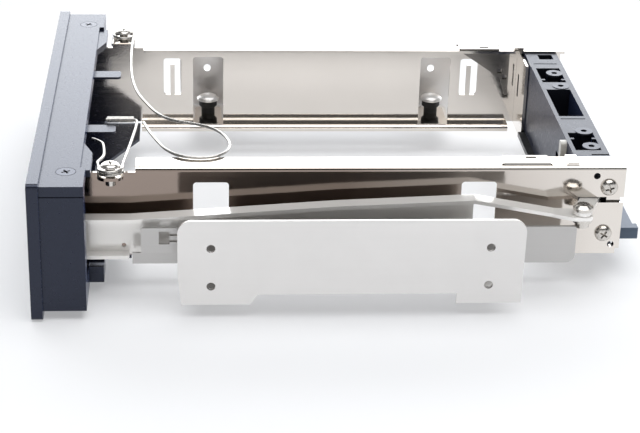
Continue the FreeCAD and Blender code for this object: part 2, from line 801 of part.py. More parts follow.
def fasteners():
    """Bezel screws, spring posts, rear screws and damper screws, each a group of solids."""
    inside = "rail_half - sheet"
    found = []
    sets = {"bezel_screws": [], "post_screws": [], "rear_screws": [], "damper_screws": []}
    head = cone("bezel_head", "Z", ("bezel_screw_x", "bezel_screw_y", "body_top - bezel_screw_sink"),
                "screw", "bezel_screw_head", "bezel_screw_sink")
    shank = rod("bezel_shank", "Z", ("bezel_screw_x", "bezel_screw_y", "rail_top - sheet + 0.05"),
                "screw", "body_top - rail_top + sheet - bezel_screw_sink - 0.05")
    sets["bezel_screws"].append(fuse("bezel_screw", [head, shank]))
    post = revolve("post_screw", ("post_x", "post_y", "0"), [
        ("0", "post_end"),
        ("screw - 0.3", "post_end"),
        ("screw", "post_end + 0.4"),
        ("screw", "rail_top + 4 * wire + 0.1"),
        ("post_head", "rail_top + 4 * wire + 0.1"),
        ("post_head", "rail_top + 4 * wire + 0.1 + post_head_height * 0.5"),
        ("post_head * 0.7", "rail_top + 4 * wire + 0.1 + post_head_height"),
        ("0", "rail_top + 4 * wire + 0.1 + post_head_height"),
    ])
    sets["post_screws"].append(post)
    for tag in ("upper", "lower"):
        spot = (f"rear_{tag}_y", f"rear_{tag}_z")
        shank = rod(f"rear_shank_{tag}", "X", (f"rail_half - rear_screw_length", *spot), "screw",
                    "rear_screw_length")
        rim = rod(f"rear_rim_{tag}", "X", ("rail_half", *spot), "rear_head", "rear_head_height * 0.45")
        dome = cone(f"rear_dome_{tag}", "X", ("rail_half + rear_head_height * 0.45", *spot), "rear_head",
                    "rear_head * 0.6", "rear_head_height * 0.55")
        sets["rear_screws"].append(fuse(f"rear_screw_{tag}", [shank, rim, dome]))
    for step in range(2):
        spot = ("damper_x", f"tab_front + {step} * tab_step", "0")
        sets["damper_screws"].append(revolve(f"damper_screw_{step}", spot, [
            ("0", "plate_bottom - 0.6"),
            ("screw", "plate_bottom - 0.6"),
            ("screw", "damper_top"),
            ("disc_radius", "damper_top"),
            ("disc_radius", "damper_top + disc_height * 0.6"),
            ("disc_radius * 0.75", "damper_top + disc_height"),
            ("0", "damper_top + disc_height"),
        ]))
    for name, pieces in sets.items():
        twins = [mirror(f"{piece.Name}_twin", piece) for piece in pieces]
        item = group(name, pieces + twins)
        item.Label = name
        found.append(item)
    return found


def dampers():
    """Rubber bushes, waisted round the rail tabs."""
    bushes = []
    for step in range(2):
        spot = ("damper_x", f"tab_front + {step} * tab_step", "0")
        bushes.append(revolve(f"damper_{step}", spot, [
            ("screw + 0.02", "plate_bottom + sheet"),
            ("damper_radius", "plate_bottom + sheet"),
            ("damper_radius", "rail_floor - sheet"),
            ("damper_neck", "rail_floor - sheet"),
            ("damper_neck", "rail_floor"),
            ("damper_radius", "rail_floor"),
            ("damper_radius", "damper_top"),
            ("screw + 0.02", "damper_top"),
        ]))
    twins = [mirror(f"{piece.Name}_twin", piece) for piece in bushes]
    item = group("rubber_dampers", bushes + twins)
    item.Label = "rubber_dampers"
    return [item]


def brackets():
    """Outer mounting plates with feet, their base sheets, and the guard beside the link."""
    face = "plate_half - sheet"
    outline = plate("mount_plate", "YZ", face, "sheet", [
        ("plate_front", "plate_top", "plate_round"),
        ("plate_front", "plate_foot + 9"),
        ("plate_front + 1", "plate_foot"),
        ("foot_front_end", "plate_foot"),
        ("foot_front_end + foot_slope", "plate_bottom"),
        ("foot_rear_start", "plate_bottom"),
        ("foot_rear_start", "plate_foot"),
        ("plate_rear - 0.3", "plate_foot"),
        ("plate_rear", "plate_top", "plate_round"),
    ], [
        ("hole_front", "hole_low", "mount_hole"),
        ("hole_front", "hole_low + hole_rise", "mount_hole"),
        ("hole_front + hole_step", "hole_low", "mount_hole"),
        ("hole_front + hole_step", "hole_low + hole_rise", "mount_hole"),
    ])
    holes = []
    for step in range(2):
        holes.append(("damper_x", f"tab_front + {step} * tab_step", "screw + 0.02"))
    base = plate("mount_base", "XY", "plate_bottom", "sheet", [
        ("base_inner", "base_front", "2"),
        ("plate_half - 2.4", "base_front", "2"),
        ("plate_half - 2.4", "foot_front_end + foot_slope + 0.4"),
        (f"{face} + 0.2", "foot_front_end + foot_slope + 0.4"),
        (f"{face} + 0.2", "foot_rear_start - 0.4"),
        ("plate_half - 2.4", "foot_rear_start - 0.4"),
        ("plate_half - 2.4", "base_rear", "2"),
        ("base_inner", "base_rear", "2"),
    ], holes)
    bracket = fuse("mount_bracket", [outline, base])

    step_low = "foot_front_end + foot_slope"
    wall = plate("guard_wall", "YZ", "guard_x", "sheet", [
        ("wing_front", "guard_top", "1"),
        ("wing_front", "guard_low + fold_rise - 0.1"),
        ("fold_end", "guard_low + fold_rise - 0.1"),
        ("fold_end", "guard_low"),
        (step_low, "guard_low"),
        (step_low, "plate_bottom + sheet"),
        ("foot_rear_start - 2", "plate_bottom + sheet"),
        ("foot_rear_start - 2", "guard_low"),
        ("guard_rear", "guard_low", "2.5"),
        ("guard_rear", "guard_top", "1"),
    ])
    fold = plate("guard_fold", "XZ", "guard_front", "fold_end - guard_front", [
        ("guard_x - fold_shift", "guard_low"),
        ("guard_x - fold_shift + sheet", "guard_low"),
        ("guard_x + sheet", "guard_low + fold_rise"),
        ("guard_x", "guard_low + fold_rise"),
    ])
    across = ("guard_x - 1", "guard_x + 2")
    keyhole = box("keyhole", across, ("keyhole_y", "keyhole_y + keyhole_size"),
                  ("keyhole_z", "keyhole_z + keyhole_rise"))
    tools = [keyhole]
    for step in range(2):
        low = f"keyhole_z + key_gap + {step} * (keyhole_rise - 3 * key_gap)"
        tools.append(box(f"keyslot_{step}", across, ("keyhole_y", "keyhole_y + 2 * keyhole_size"),
                         (low, f"{low} + key_gap")))
    reach = "guard_x + sheet + (plate_half - guard_x - 2 * sheet) / 2"
    foot = box("guard_foot", ("guard_x", reach), (step_low, "foot_rear_start - 2"),
               ("plate_bottom + sheet", "plate_bottom + 2 * sheet"))
    guard = cut("link_guard_right", fuse("guard_solid", [wall, fold, foot]), tools)
    guard.Label = "link_guard_right"
    return both("mount_bracket", bracket) + [guard]


def link():
    """The ejector link: forked front channel, sloping flanged bar and rear tongue."""
    front = "hinge_y - crank_offset - crank_pin - yoke_slack - yoke_rim"
    tongue_y = "rivet_y - 8"
    tongue_top = "lever_low - slip"
    crest = [
        ("link_front", "link_head"),
        ("link_shoulder", "link_head"),
        ("link_middle", "link_rise"),
        ("link_leg_end", "link_peak"),
        (tongue_y, tongue_top),
    ]
    under = [(y, f"{z} - link_thick") for y, z in reversed(crest)]
    flange = plate("link_flange", "YZ", "link_x", "link_width", crest + under)
    leg_top = [(y, f"{z} - link_thick / 2") for y, z in reversed(crest[:4])]
    leg = plate("link_leg", "YZ", "link_x", "sheet", [
        ("link_front", "link_low"),
        ("guard_front + 10", "link_low"),
        ("guard_front + 13", "link_mid"),
        ("link_leg_end", "link_mid"),
    ] + leg_top)
    lower = box("link_lower", ("link_x", "link_x + link_width"), ("link_front", "guard_front - 1"),
                ("link_low", "link_low + link_thick"))
    forks = []
    for step, level in enumerate(("link_low", "link_head - link_thick")):
        forks.append(plate(f"link_fork_{step}", "XY", level, "link_thick", [
            ("link_x", "link_front"),
            ("hinge_x + 0.9", "link_front"),
            ("hinge_x + 0.9", front),
            ("hinge_x + 5.7", front, "1"),
            ("hinge_x + 5.7", "hinge_y + 2.3", "1"),
            ("link_x", "hinge_y + 5.3"),
        ]))
    tongue = plate("link_tongue", "XY", f"{tongue_top} - link_thick", "link_thick", [
        ("link_x", f"{tongue_y} - 0.6"),
        ("link_x + link_width", f"{tongue_y} - 0.6"),
        ("rivet_x + rivet_head", "rivet_y - rivet_head"),
        ("rivet_x + rivet_head", "rivet_y + rivet_head", "2"),
        ("rivet_x - rivet_head", "rivet_y + rivet_head", "2"),
    ])
    blank = fuse("link_blank", [flange, leg, lower, tongue] + forks)
    crank_y = "hinge_y - crank_offset"
    slot = box("yoke_slot", ("hinge_x + 0.1", "hinge_x + 4.3"),
               (f"{crank_y} - crank_pin - yoke_slack", f"{crank_y} + crank_pin + yoke_slack"),
               ("link_low - 1", "link_head + 1"))
    eye = rod("tongue_hole", "Z", ("rivet_x", "rivet_y", "lever_low - 4"), "rivet + 0.02", "6")
    peep = rod("link_peep", "X", ("link_x - 1", "22.5", "15.6"), "0.7", "3")
    bar = cut("eject_link", blank, [slot, eye, peep])
    bar.Label = "eject_link"

    low = "lever_low - link_thick - slip"
    high = "lever_low + lever_thick + slip"
    rivet = revolve("link_rivet", ("rivet_x", "rivet_y", "0"), [
        ("0", f"{low} - 2.8"),
        ("rivet_head * 0.7", f"{low} - 2.8"),
        ("rivet_head * 0.7", f"{low} - 1.1"),
        ("rivet_head", f"{low} - 1.1"),
        ("rivet_head", low),
        ("rivet", low),
        ("rivet", high),
        ("rivet_head", high),
        ("rivet_head", f"{high} + 1"),
        ("rivet_head * 0.6", f"{high} + 1.7"),
        ("0", f"{high} + 1.7"),
    ])
    rivet.Label = "link_rivet"
    return [bar, rivet]


def lever():
    """The ejector lever that swings through the rail's notch, and its pivot pin."""
    blank = plate("eject_lever", "XY", "lever_low", "lever_thick", [
        ("rivet_x + 0.52 * lever_half", "rivet_y - 1.32 * lever_half", "2.4"),
        ("rivet_x + 1.32 * lever_half", "rivet_y + 0.52 * lever_half", "2.4"),
        ("lever_pin_x", "lever_pin_y + 1.08 * lever_half"),
        ("nose_x - 1.6", "nose_y + 1.1", "1"),
        ("nose_x - 0.6", "nose_y - 1.9", "1"),
        ("lever_pin_x", "lever_pin_y - 1.08 * lever_half"),
    ], [
        ("rivet_x", "rivet_y", "rivet + running"),
        ("lever_pin_x", "lever_pin_y", "lever_pin + running"),
    ])
    blank.Label = "eject_lever"
    pin = rod("lever_pin_rod", "Z", ("lever_pin_x", "lever_pin_y", "lever_low - pin_bury"), "lever_pin",
              "lever_thick + 2 * pin_bury")
    pin.Label = "lever_pin"
    return [blank, pin]


def guides():
    """Spring clips on the top flanges, with a leaf down the inside of each web."""
    out = "rail_half - sheet - 0.3"
    top = "rail_top + 0.05 + guide_thick"
    under = "rail_top - sheet - 0.3"
    cap = plate("guide_cap", "XY", "rail_top + 0.05", "guide_thick", [
        ("guide_inner", "guide_front", "0.8"),
        (out, "guide_front"),
        (out, "guide_rear"),
        ("guide_inner", "guide_rear", "0.8"),
    ])
    leaf = plate("guide_leaf", "YZ", f"{out} - guide_thick", "guide_thick", [
        ("guide_front", top),
        ("guide_front", f"{under} - 0.3"),
        ("guide_rear + 1.6", "rail_top - 11.8"),
        ("guide_rear + 3.6", "rail_top - 18.1"),
        ("guide_rear + 4.5", "rail_top - 18.1"),
        ("guide_rear + 4.5", under),
        ("guide_rear", under),
        ("guide_rear", top),
    ])
    tools = []
    for step in range(2):
        across = f"guide_rear + 0.6 + {step} * 1.9"
        low = f"rail_top - 10.1 - {step} * 2.2"
        tools.append(box(f"guide_hole_{step}", (f"{out} - 2", f"{out} + 1"),
                         (across, f"{across} + 1.5"), (low, f"{low} + 1.6")))
    tools.append(box("guide_mark", ("guide_inner + 1.2", "guide_inner + 2.2"),
                     ("guide_front + 7", "guide_front + 10"), ("rail_top", "rail_top + 2")))
    clip = cut("guide_spring", fuse("guide_solid", [cap, leaf]), tools)
    return both("guide_spring", clip)


def rear_bracket():
    """Folded cross bracket: floor, sill, ears along the webs, and one wing."""
    out = "rail_half - sheet - slip"
    low = "rail_floor - 0.2"
    sides = [
        box("ear", (f"{out} - sheet", out), ("bracket_front", "bracket_rear"), (low, "bracket_top")),
        box("rise", (f"{out} - sheet", out), ("bracket_tab", "bracket_front + 1"),
            ("bracket_top - 3", "rail_top + 0.05 + sheet")),
        box("clip_tab", ("rail_half - 6.7", out), ("bracket_tab", "bracket_front + 1"),
            ("rail_top + 0.05", "rail_top + 0.05 + sheet")),
    ]
    pieces = sides + [mirror(f"{side.Name}_twin", side) for side in sides]
    front = ("bracket_front", "bracket_front + sheet")
    pieces.append(box("bracket_sill", (f"-({out})", out), front, (low, f"{low} + 1.1")))
    pieces.append(box("bracket_floor", (f"-({out})", out), ("bracket_front", "bracket_rear"),
                      (f"{low} - sheet", low)))
    pieces.append(box("bracket_wall", (f"-({out})", f"bracket_wing - ({out})"), front, (low, "bracket_top")))
    blank = fuse("bracket_blank", pieces)
    level = ("lever_low - notch_slack", "lever_low + lever_thick + notch_slack")
    tools = [
        box("wing_slot", ("5 - rail_half", "7 - rail_half"), ("bracket_front - 1", "bracket_front + 2"),
            ("21", "29")),
        box("ear_notch", ("lever_pin_x", "rail_half"), ("notch_front", "notch_rear"), level),
    ]
    for tag in ("upper", "lower"):
        tools.append(rod(f"ear_holes_{tag}", "X", ("-rail_half", f"rear_{tag}_y", f"rear_{tag}_z"),
                         "screw + slip", "2 * rail_half"))
        tools.append(rod(f"ear_spares_{tag}", "X", ("-rail_half", f"spare_{tag}_y", f"spare_{tag}_z"),
                         "spare_hole", "2 * rail_half"))
    bracket = cut("rear_bracket", blank, tools)
    bracket.Label = "rear_bracket"
    return [bracket]


def holder():
    """The moulded connector holder: open ribbed trough with ring bosses and a lever slot."""
    end = "rail_half - 2 * sheet - 0.5"
    under = "board_low + board_thick"
    block = box("holder_block", (f"-({end})", end), ("holder_front", "holder_rear"), (under, "holder_top"))
    low = "holder_front + holder_wall"
    back = "holder_rear - holder_wall - 0.4"
    tools = []
    pockets = ((-0.605, -0.347), (-0.218, 0.238), (0.506, 0.774))
    for step, (left, right) in enumerate(pockets):
        tools.append(box(f"pocket_{step}", (f"{left} * ({end})", f"{right} * ({end})"), (low, back),
                         ("holder_floor", "holder_top + 1")))
    tools.append(box("end_pocket", (f"7.1 - ({end})", f"11.4 - ({end})"),
                     ("holder_front + 4", "holder_rear - 2"), ("holder_top - 9", "holder_top + 1")))
    for step, share in enumerate((-0.694, 0.276)):
        across = f"{share} * ({end})"
        tools.append(box(f"top_groove_{step}", (across, f"{across} + 0.6"), (low, back),
                         ("holder_top - 0.6", "holder_top + 1")))
    tools.append(box("end_groove", (f"{end} - 8.4", f"{end} - 7.6"), ("holder_rear - 5.4", "holder_rear + 1"),
                     ("holder_top - 1", "holder_top + 1")))
    tools.append(box("plug_room", ("plug_x - 0.3", "plug_x + plug_width + 0.3"),
                     ("holder_front - 1", "holder_rear + 1"), ("0", f"{under} + plug_height + 0.3")))
    level = ("lever_low - notch_slack", "lever_low + lever_thick + notch_slack")
    tools.append(box("lever_slot", ("nose_x - 6.5", "lever_pin_x - 7.4"),
                     ("holder_front - 1", "holder_front + 3.4"), level))
    tools.append(box("lever_room", ("lever_pin_x - 9.1", "rail_half"),
                     ("holder_front - 1", "notch_rear"), level))
    tools.append(rod("lever_pin_bore", "Z", ("lever_pin_x", "lever_pin_y", "board_low"), "lever_pin + 0.02",
                     "lever_low + lever_thick + pin_bury + 0.02 - board_low"))
    sides = [box("flange_room", ("rail_half - top_flange - 0.3", "rail_half"),
                 ("holder_front - 1", "holder_rear + 1"), ("rail_top - sheet - 0.1", "holder_top + 1"))]
    for tag in ("upper", "lower"):
        sides.append(rod(f"holder_hole_{tag}", "X",
                         ("rail_half - rear_screw_length - 0.3", f"rear_{tag}_y", f"rear_{tag}_z"),
                         "screw + 0.02", "rear_screw_length"))
    for side in sides:
        tools += [side, mirror(f"{side.Name}_twin", side)]
    trough = cut("holder_trough", block, tools)

    inner = f"{back} - ({low}) + 0.2"
    added = [trough, plate("ramp", "XZ", f"{low} - 0.1", inner, [
        (f"0.06 * ({end})", "holder_floor - 0.1"),
        (f"0.24 * ({end})", "holder_floor - 0.1"),
        (f"0.24 * ({end})", "holder_top - 5"),
    ])]
    for step, share in enumerate((-0.407, 0.583)):
        across = f"{share} * ({end})"
        sides = {"front": (f"{low} - 0.1", f"{low} + 1.2"), "back": (f"{back} - 1.2", f"{back} + 0.1")}
        for side, span in sides.items():
            added.append(box(f"pocket_rib_{side}_{step}", (across, f"{across} + 1"), span,
                             ("holder_top - 6", "holder_top")))
    holes = []
    ring_y = "holder_rear - 4.2"
    for step, share in enumerate((-0.51, -0.278, 0.48, 0.714)):
        across = f"{share} * ({end})"
        added.append(rod(f"boss_{step}", "Z", (across, ring_y, "holder_floor - 1"), "boss_radius",
                         "holder_top - holder_floor + 1"))
        added.append(box(f"boss_rib_{step}", (f"{across} - 0.5", f"{across} + 0.5"),
                         (ring_y, f"{back} + 0.5"),
                         ("holder_floor - 1", "holder_top - 1")))
        holes.append(rod(f"boss_hole_{step}", "Z", (across, ring_y, "holder_top - 6"), "boss_hole", "7"))
    piece = cut("connector_holder", fuse("holder_ringed", added), holes)
    piece.Label = "connector_holder"
    stop = plate("bump_stop", "XZ", "holder_front - 1.8", "1.8", [
        ("29.5", "29"),
        ("32.3", "29"),
        ("32.3", "holder_top - 0.3", "1"),
        ("29.5", "holder_top - 0.3", "1"),
    ])
    stop.Label = "bump_stop"
    return [piece, stop]


def electronics():
    """The board, the drive plug on its front edge and the host sockets behind it."""
    board = plate("backplane_board", "XY", "board_low", "board_thick", [
        ("-board_left", "board_front"),
        ("board_right", "board_front"),
        ("board_right", "board_rear"),
        ("-board_left", "board_rear"),
    ])
    board.Label = "backplane_board"
    low = "board_low + board_thick"
    shell = box("plug_shell", ("plug_x", "plug_x + plug_width"), ("board_front", "plug_rear"),
                (low, f"{low} + plug_height"))
    blade = box("plug_blade", ("plug_x + 1", "plug_x + plug_width - 1"), ("plug_front", "board_front + 1"),
                (f"{low} + 1.6", f"{low} + 4.4"))
    mouth = box("plug_mouth", ("plug_x + 2", "plug_x + plug_width - 2"), ("plug_front - 1", "plug_front + 3"),
                (f"{low} + 2.4", f"{low} + 3.6"))
    plug = cut("drive_plug", fuse("plug_solid", [shell, blade]), [mouth])
    plug.Label = "drive_plug"
    inner_end = "socket_x + socket_width - socket_ear"
    tall = ("socket_low", "socket_low + socket_height")
    body = box("socket_body", ("socket_x", inner_end), ("board_rear", "rear_reach - socket_step"), tall)
    ear = box("socket_end", (inner_end, "socket_x + socket_width"), ("board_rear", "rear_reach"), tall)
    middle = "socket_low + socket_height / 2"
    mouths = []
    tongues = []
    for step, (left, right) in enumerate(((1.5, 23.5), (25.5, 37.5))):
        mouths.append(box(f"socket_mouth_{step}", (f"socket_x + {left}", f"socket_x + {right}"),
                          ("rear_reach - 7", "rear_reach + 1"), (f"{middle} - 1.25", f"{middle} + 1.25")))
        tongues.append(box(f"socket_tongue_{step}", (f"socket_x + {left} + 1.4", f"socket_x + {right} - 1.4"),
                           ("rear_reach - 8", "rear_reach - 2"), (f"{middle} - 0.4", f"{middle} + 0.4")))
    shell = cut("socket_open", fuse("socket_solid", [body, ear]), mouths)
    socket = fuse("host_sockets", [shell] + tongues)
    socket.Label = "host_sockets"
    return [board, plug, socket]


def springs():
    """Torsion springs on the posts. Their long legs meet behind the bezel at a sleeve."""
    shift = (size("lip_depth") - size("rear_reach")) / 2
    wire = size("wire")
    level = size("rail_top") + wire + 0.05
    post_x = size("post_x")
    post_y = size("post_y")
    tangent = size("coil_radius")

    def coil(x, tag):
        rings = []
        for turn in range(2):
            ring = document.addObject("Part::Torus", f"coil_{tag}_{turn}")
            bind(ring, "Radius1", "coil_radius")
            bind(ring, "Radius2", "wire + 0.04")
            place(ring, x, "post_y", f"rail_top + wire + 0.05 + {turn} * 1.8 * wire")
            rings.append(ring)
        return rings

    def leg(name, height, places, radii):
        points = [Vector(x * post_x, y * post_x + shift, height) for x, y in places]
        item = document.addObject("Part::Feature", name)
        item.Shape = tube(wire_path(points, radii), wire)
        return item

    rear_start = (post_y + tangent) / post_x
    front_start = (post_y - tangent) / post_x
    near = [(1, rear_start), (0.842, rear_start + 0.009), (0.310, 0.456), (0.310, 0.282)]
    front = [(1, front_start), (0.889, 0.262), (0.792, 0.296), (0.621, 0.283), (0.567, 0.218)]
    legs = [
        leg("leg_near", level, near, [0.1 * post_x, 0.016 * post_x]),
        leg("leg_front", level + 1.8 * wire, front, [0.035 * post_x] * 3),
    ]
    right = fuse("torsion_spring_right", coil("post_x", "right") + legs)
    right.Label = "torsion_spring_right"
    loop = [
        (-1, rear_start),
        (-0.669, 0.389),
        (-0.370, 0.398),
        (-0.070, 0.447),
        (0.220, 0.546),
        (0.361, 0.695),
        (0.458, 0.871),
        (0.678, 0.956),
        (0.845, 0.871),
        (0.824, 0.660),
        (0.634, 0.570),
        (0.345, 0.486),
    ]
    radii = []
    for number in range(1, len(loop) - 1):
        corner = Vector(*loop[number], 0)
        before = Vector(*loop[number - 1], 0) - corner
        after = Vector(*loop[number + 1], 0) - corner
        half = before.getAngle(after) / 2
        radii.append(0.45 * min(before.Length, after.Length) * math.tan(half) * post_x)
    left = fuse("torsion_spring_left", coil("-post_x", "left") + [leg("leg_left", level, loop, radii)])
    left.Label = "torsion_spring_left"
    spot = ("0.31 * post_x", "0.292 * post_x", "rail_top + wire + 0.05")
    tube_wall = rod("sleeve_wall", "Y", spot, "wire + 0.4", "8")
    sleeve = cut("wire_sleeve", tube_wall, [rod("sleeve_bore", "Y", spot, "wire + 0.02", "8")])
    sleeve.Label = "wire_sleeve"
    return [right, left, sleeve]


nodes = []
for make in (bezel, door, door_pins, button_and_lamps, rails, fasteners, dampers, brackets, link,
             lever, guides, rear_bracket, holder, electronics, springs):
    nodes += make()
document.recompute()

for item in document.Objects:
    if "Invalid" in item.State or "Error" in item.State:
        raise RuntimeError(f"{item.Name} did not build")
os.makedirs("parts", exist_ok=True)
for node in nodes:
    shape = node.Shape
    if shape.isNull() or not shape.isValid():
        raise RuntimeError(f"{node.Label} is not a valid solid")
for node in nodes:
    node.Shape.exportStep(f"parts/{node.Label}.step")
    print(node.Label, len(node.Shape.Solids), round(node.Shape.Volume, 1))
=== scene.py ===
"""Dresses the hot swap drive cage: finishes, screws, springs, connector detail and a studio."""

import math

import bmesh
import bpy
from bpy.props import FloatProperty, FloatVectorProperty, PointerProperty
from mathutils import Euler, Matrix, Vector


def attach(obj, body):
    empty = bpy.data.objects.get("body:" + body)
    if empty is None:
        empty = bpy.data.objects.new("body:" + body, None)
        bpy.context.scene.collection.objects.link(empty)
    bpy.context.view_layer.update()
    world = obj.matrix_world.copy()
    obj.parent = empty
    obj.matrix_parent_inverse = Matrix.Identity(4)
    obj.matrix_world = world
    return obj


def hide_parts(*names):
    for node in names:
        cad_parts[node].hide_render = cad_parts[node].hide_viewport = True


bl_info = {
    "name": "Drive Cage Dresser",
    "version": (1, 0, 0),
    "blender": (4, 5, 0),
    "location": "View3D > Sidebar > Drive Cage",
    "description": "Finishes and small parts for a hot swap drive cage",
    "category": "Object",
}

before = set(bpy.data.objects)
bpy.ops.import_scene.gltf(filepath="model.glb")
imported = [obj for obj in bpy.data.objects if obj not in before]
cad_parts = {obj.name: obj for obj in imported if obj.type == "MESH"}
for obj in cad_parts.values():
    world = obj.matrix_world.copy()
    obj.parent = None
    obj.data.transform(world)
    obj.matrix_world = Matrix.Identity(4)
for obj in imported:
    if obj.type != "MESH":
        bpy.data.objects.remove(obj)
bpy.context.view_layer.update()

# Places are in millimetres: x across, y to the rear of the bezel's seat, and z up.

MM = 0.001
SEAT_Y = -86.3
UPRIGHT = Euler((0, 0, 0))
SIDES = (1, -1)

BEZEL_TOP = 41.0
HINGE_X, HINGE_Y = 57.5, 3.7
BEZEL_SCREW_X, BEZEL_SCREW_Y = 62.5, 7
POST_X, POST_Y = 56.8, 19.1
POST_SCREW_SEAT = 40.1
RAIL_FACE = 52.7
REAR_SCREWS = ((163.8, 31.4, 0.3), (163.3, 16.6, 1.0))
DAMPER_X, DAMPER_SEAT = 59, 15.2
DAMPERS_Y = (47.6, 125.5)
BOSSES_X = (-25.7, -14.0, 24.2, 36.0)
BOSS_Y, BOSS_TOP = 161.4, 37.3

# Turned outlines are lists of radius and height in millimetres, with the seat at height 0.

CAP = [(0, 0), (1.5, 0), (1.5, -0.55), (0, -0.55)]
COLLAR = [(0.95, 0.15), (2.7, 0.15), (2.7, -0.5), (0.95, -0.5), (0.95, 0.15)]
SUNK_HEAD = [(0, 0), (2.72, 0), (2.8, -0.15), (1.5, -1.5), (1.45, -3.8), (0, -3.8)]
PAN_HEAD = [
    (0, 1.7), (1.3, 1.62), (2.1, 1.25), (2.5, 0.6), (2.5, 0),
    (1.45, 0), (1.45, -5.4), (0, -5.4),
]
POST_HEAD = [
    (0, 1.15), (1.6, 1.08), (2.45, 0.75), (2.75, 0.35), (2.75, 0),
    (1.45, 0), (1.45, -5.6), (0, -5.6),
]
DISC_HEAD = [
    (0, 1.75), (1.2, 1.7), (2.4, 1.45), (3.2, 1.05), (3.7, 0.6), (3.85, 0.25), (3.75, 0),
    (1.45, 0), (1.45, -8.4), (0, -8.4),
]
BUSH = [
    (1.46, 0), (2.85, 0), (3.1, -0.25), (3.1, -2.1), (2.9, -2.35), (2.4, -2.55), (2.3, -2.9),
    (2.3, -4.9), (2.4, -5.2), (2.85, -5.4), (3.0, -5.7), (3.0, -6.7), (2.8, -7.0), (1.46, -7.0),
    (1.46, 0),
]

# The springs' coils, and the places along their legs, from one end to the coil or away from it.

COIL_RADIUS = 3.4
COIL_TURNS = 1.5
COIL_START = 90
LEG_HEIGHT = 38.45
RIGHT_LEG = [(17.6, 16.2), (17.6, 22.0), (17.8, 25.4), (20.5, 25.7), (34, 24.4)]
RIGHT_BEND = [(47.5, 23.1), (53.5, 22.6)]
RIGHT_HOOK = [
    (53.0, 15.6), (50.2, 14.9), (47.5, 16.2), (44.5, 16.9), (38, 16.4), (35.2, 15.9), (32.6, 12.8),
]
LEFT_LOOP = [
    (-53.5, 22.5), (-48.5, 22.2), (-38, 22.1), (-21, 22.6), (-6, 24.6), (4.5, 28.2), (13.2, 31.6),
    (18.3, 36.0), (21.2, 43.6), (24.6, 48.6), (30.5, 52.2), (38.2, 53.8), (44.9, 51.2),
    (47.4, 46.0), (46.2, 38.8), (41.2, 34.6), (35.2, 32.2), (26.5, 29.2), (19.8, 27.6),
]
LEFT_HOOK = [(-53.5, 15.7), (-49, 15.6)]

# The camera of the photograph, in the model's own frame.

CAMERA_PLACE = (529.47, -43.15, 245.98)
CAMERA_TURN = (64.9143, -1.472, 86.3518)
CAMERA_LENS = 101.92
CAMERA_SENSOR = 36


def spot(x, y, z):
    """A point given in millimetres, with y counted from the bezel's seat."""
    return Vector((x, y + SEAT_Y, z)) * MM


def colour_property(name, default):
    return FloatVectorProperty(
        name=name,
        description=f"{name} in linear light",
        subtype="COLOR",
        size=4,
        min=0,
        max=1,
        default=default,
    )


def length_property(name, description, default):
    return FloatProperty(name=name, description=description, default=default, min=0, unit="LENGTH")


def strength_property(name, description, default):
    return FloatProperty(name=name, description=description, default=default, min=0)


def power_property(name, description, default):
    return FloatProperty(name=name, description=description, default=default, unit="POWER")


class CageFinish(bpy.types.PropertyGroup):
    """Colours of the cage."""

    bezel: colour_property("Bezel plastic", (0.0055, 0.0065, 0.0130, 1))
    holder: colour_property("Holder plastic", (0.009, 0.0095, 0.013, 1))
    nickel: colour_property("Bright nickel", (0.76, 0.715, 0.665, 1))
    # Painted shade tone: a dark warm colour laid on the rails' outward faces and the link's
    # left-looking faces in place of shadow and dark reflections.
    painted_shade: colour_property("Painted shade tone", (0.40, 0.345, 0.32, 1))
    plate: colour_property("Satin plate", (0.78, 0.765, 0.75, 1))
    link: colour_property("Link steel", (0.95, 0.93, 0.90, 1))
    screw: colour_property("Screw steel", (0.66, 0.63, 0.59, 1))
    black_screw: colour_property("Blackened screw", (0.075, 0.08, 0.10, 1))
    wire: colour_property("Spring wire", (0.50, 0.485, 0.46, 1))
    rubber: colour_property("Damper rubber", (0.012, 0.012, 0.012, 1))
    board: colour_property("Board laminate", (0.010, 0.012, 0.014, 1))
    socket: colour_property("Socket plastic", (0.065, 0.088, 0.120, 1))
    stop: colour_property("Bump stop", (0.66, 0.64, 0.58, 1))
    lamp: colour_property("Lamp lens", (0.55, 0.60, 0.60, 1))


class CageSizes(bpy.types.PropertyGroup):
    """Small sizes of the dressing."""

    sheet_edge: length_property("Sheet edge", "Rounding of sheet metal edges", 0.00012)
    fold_edge: length_property("Fold edge", "Rounding of the rails' edges and folds", 0.00022)
    plastic_edge: length_property("Plastic edge", "Rounding of moulded edges", 0.00045)
    recess_width: length_property("Recess width", "Width of a cross recess wing", 0.00075)
    recess_reach: length_property("Recess reach", "Half length of a cross recess", 0.00175)
    coil_pitch: length_property("Coil pitch", "Fall of a spring's coil for each turn", 0.00096)
    wire_radius: length_property("Wire radius", "Radius of the spring wire", 0.00044)


class StageLook(bpy.types.PropertyGroup):
    """Floor and light."""

    floor: colour_property("Floor", (0.92, 0.93, 0.95, 1))
    glow: colour_property("Floor glow", (0.98, 0.985, 1, 1))
    lift: strength_property("Floor lift", "Share of plain white in the floor near the cage", 0.28)
    key: power_property("Key light", "Power of the large top light", 12.0)
    fill: power_property("Fill light", "Power of the side lights", 0.6)
    sky: strength_property("Sky", "Strength of the pale light near the horizon", 1.0)
    window: strength_property("Window", "Strength of the bright wall of light", 3.6)
    dusk: strength_property("Dusk", "Strength of the dim part overhead", 0.10)


# Materials. Noise scales are in cycles a metre, and bump distances in metres.

ROLLED = (1, 0.03, 1)
PLASTIC_GLINT = (0.70, 0.77, 1.0, 1)
PLASTIC_BLOOM = (0.25, 0.40, 1.0, 1)


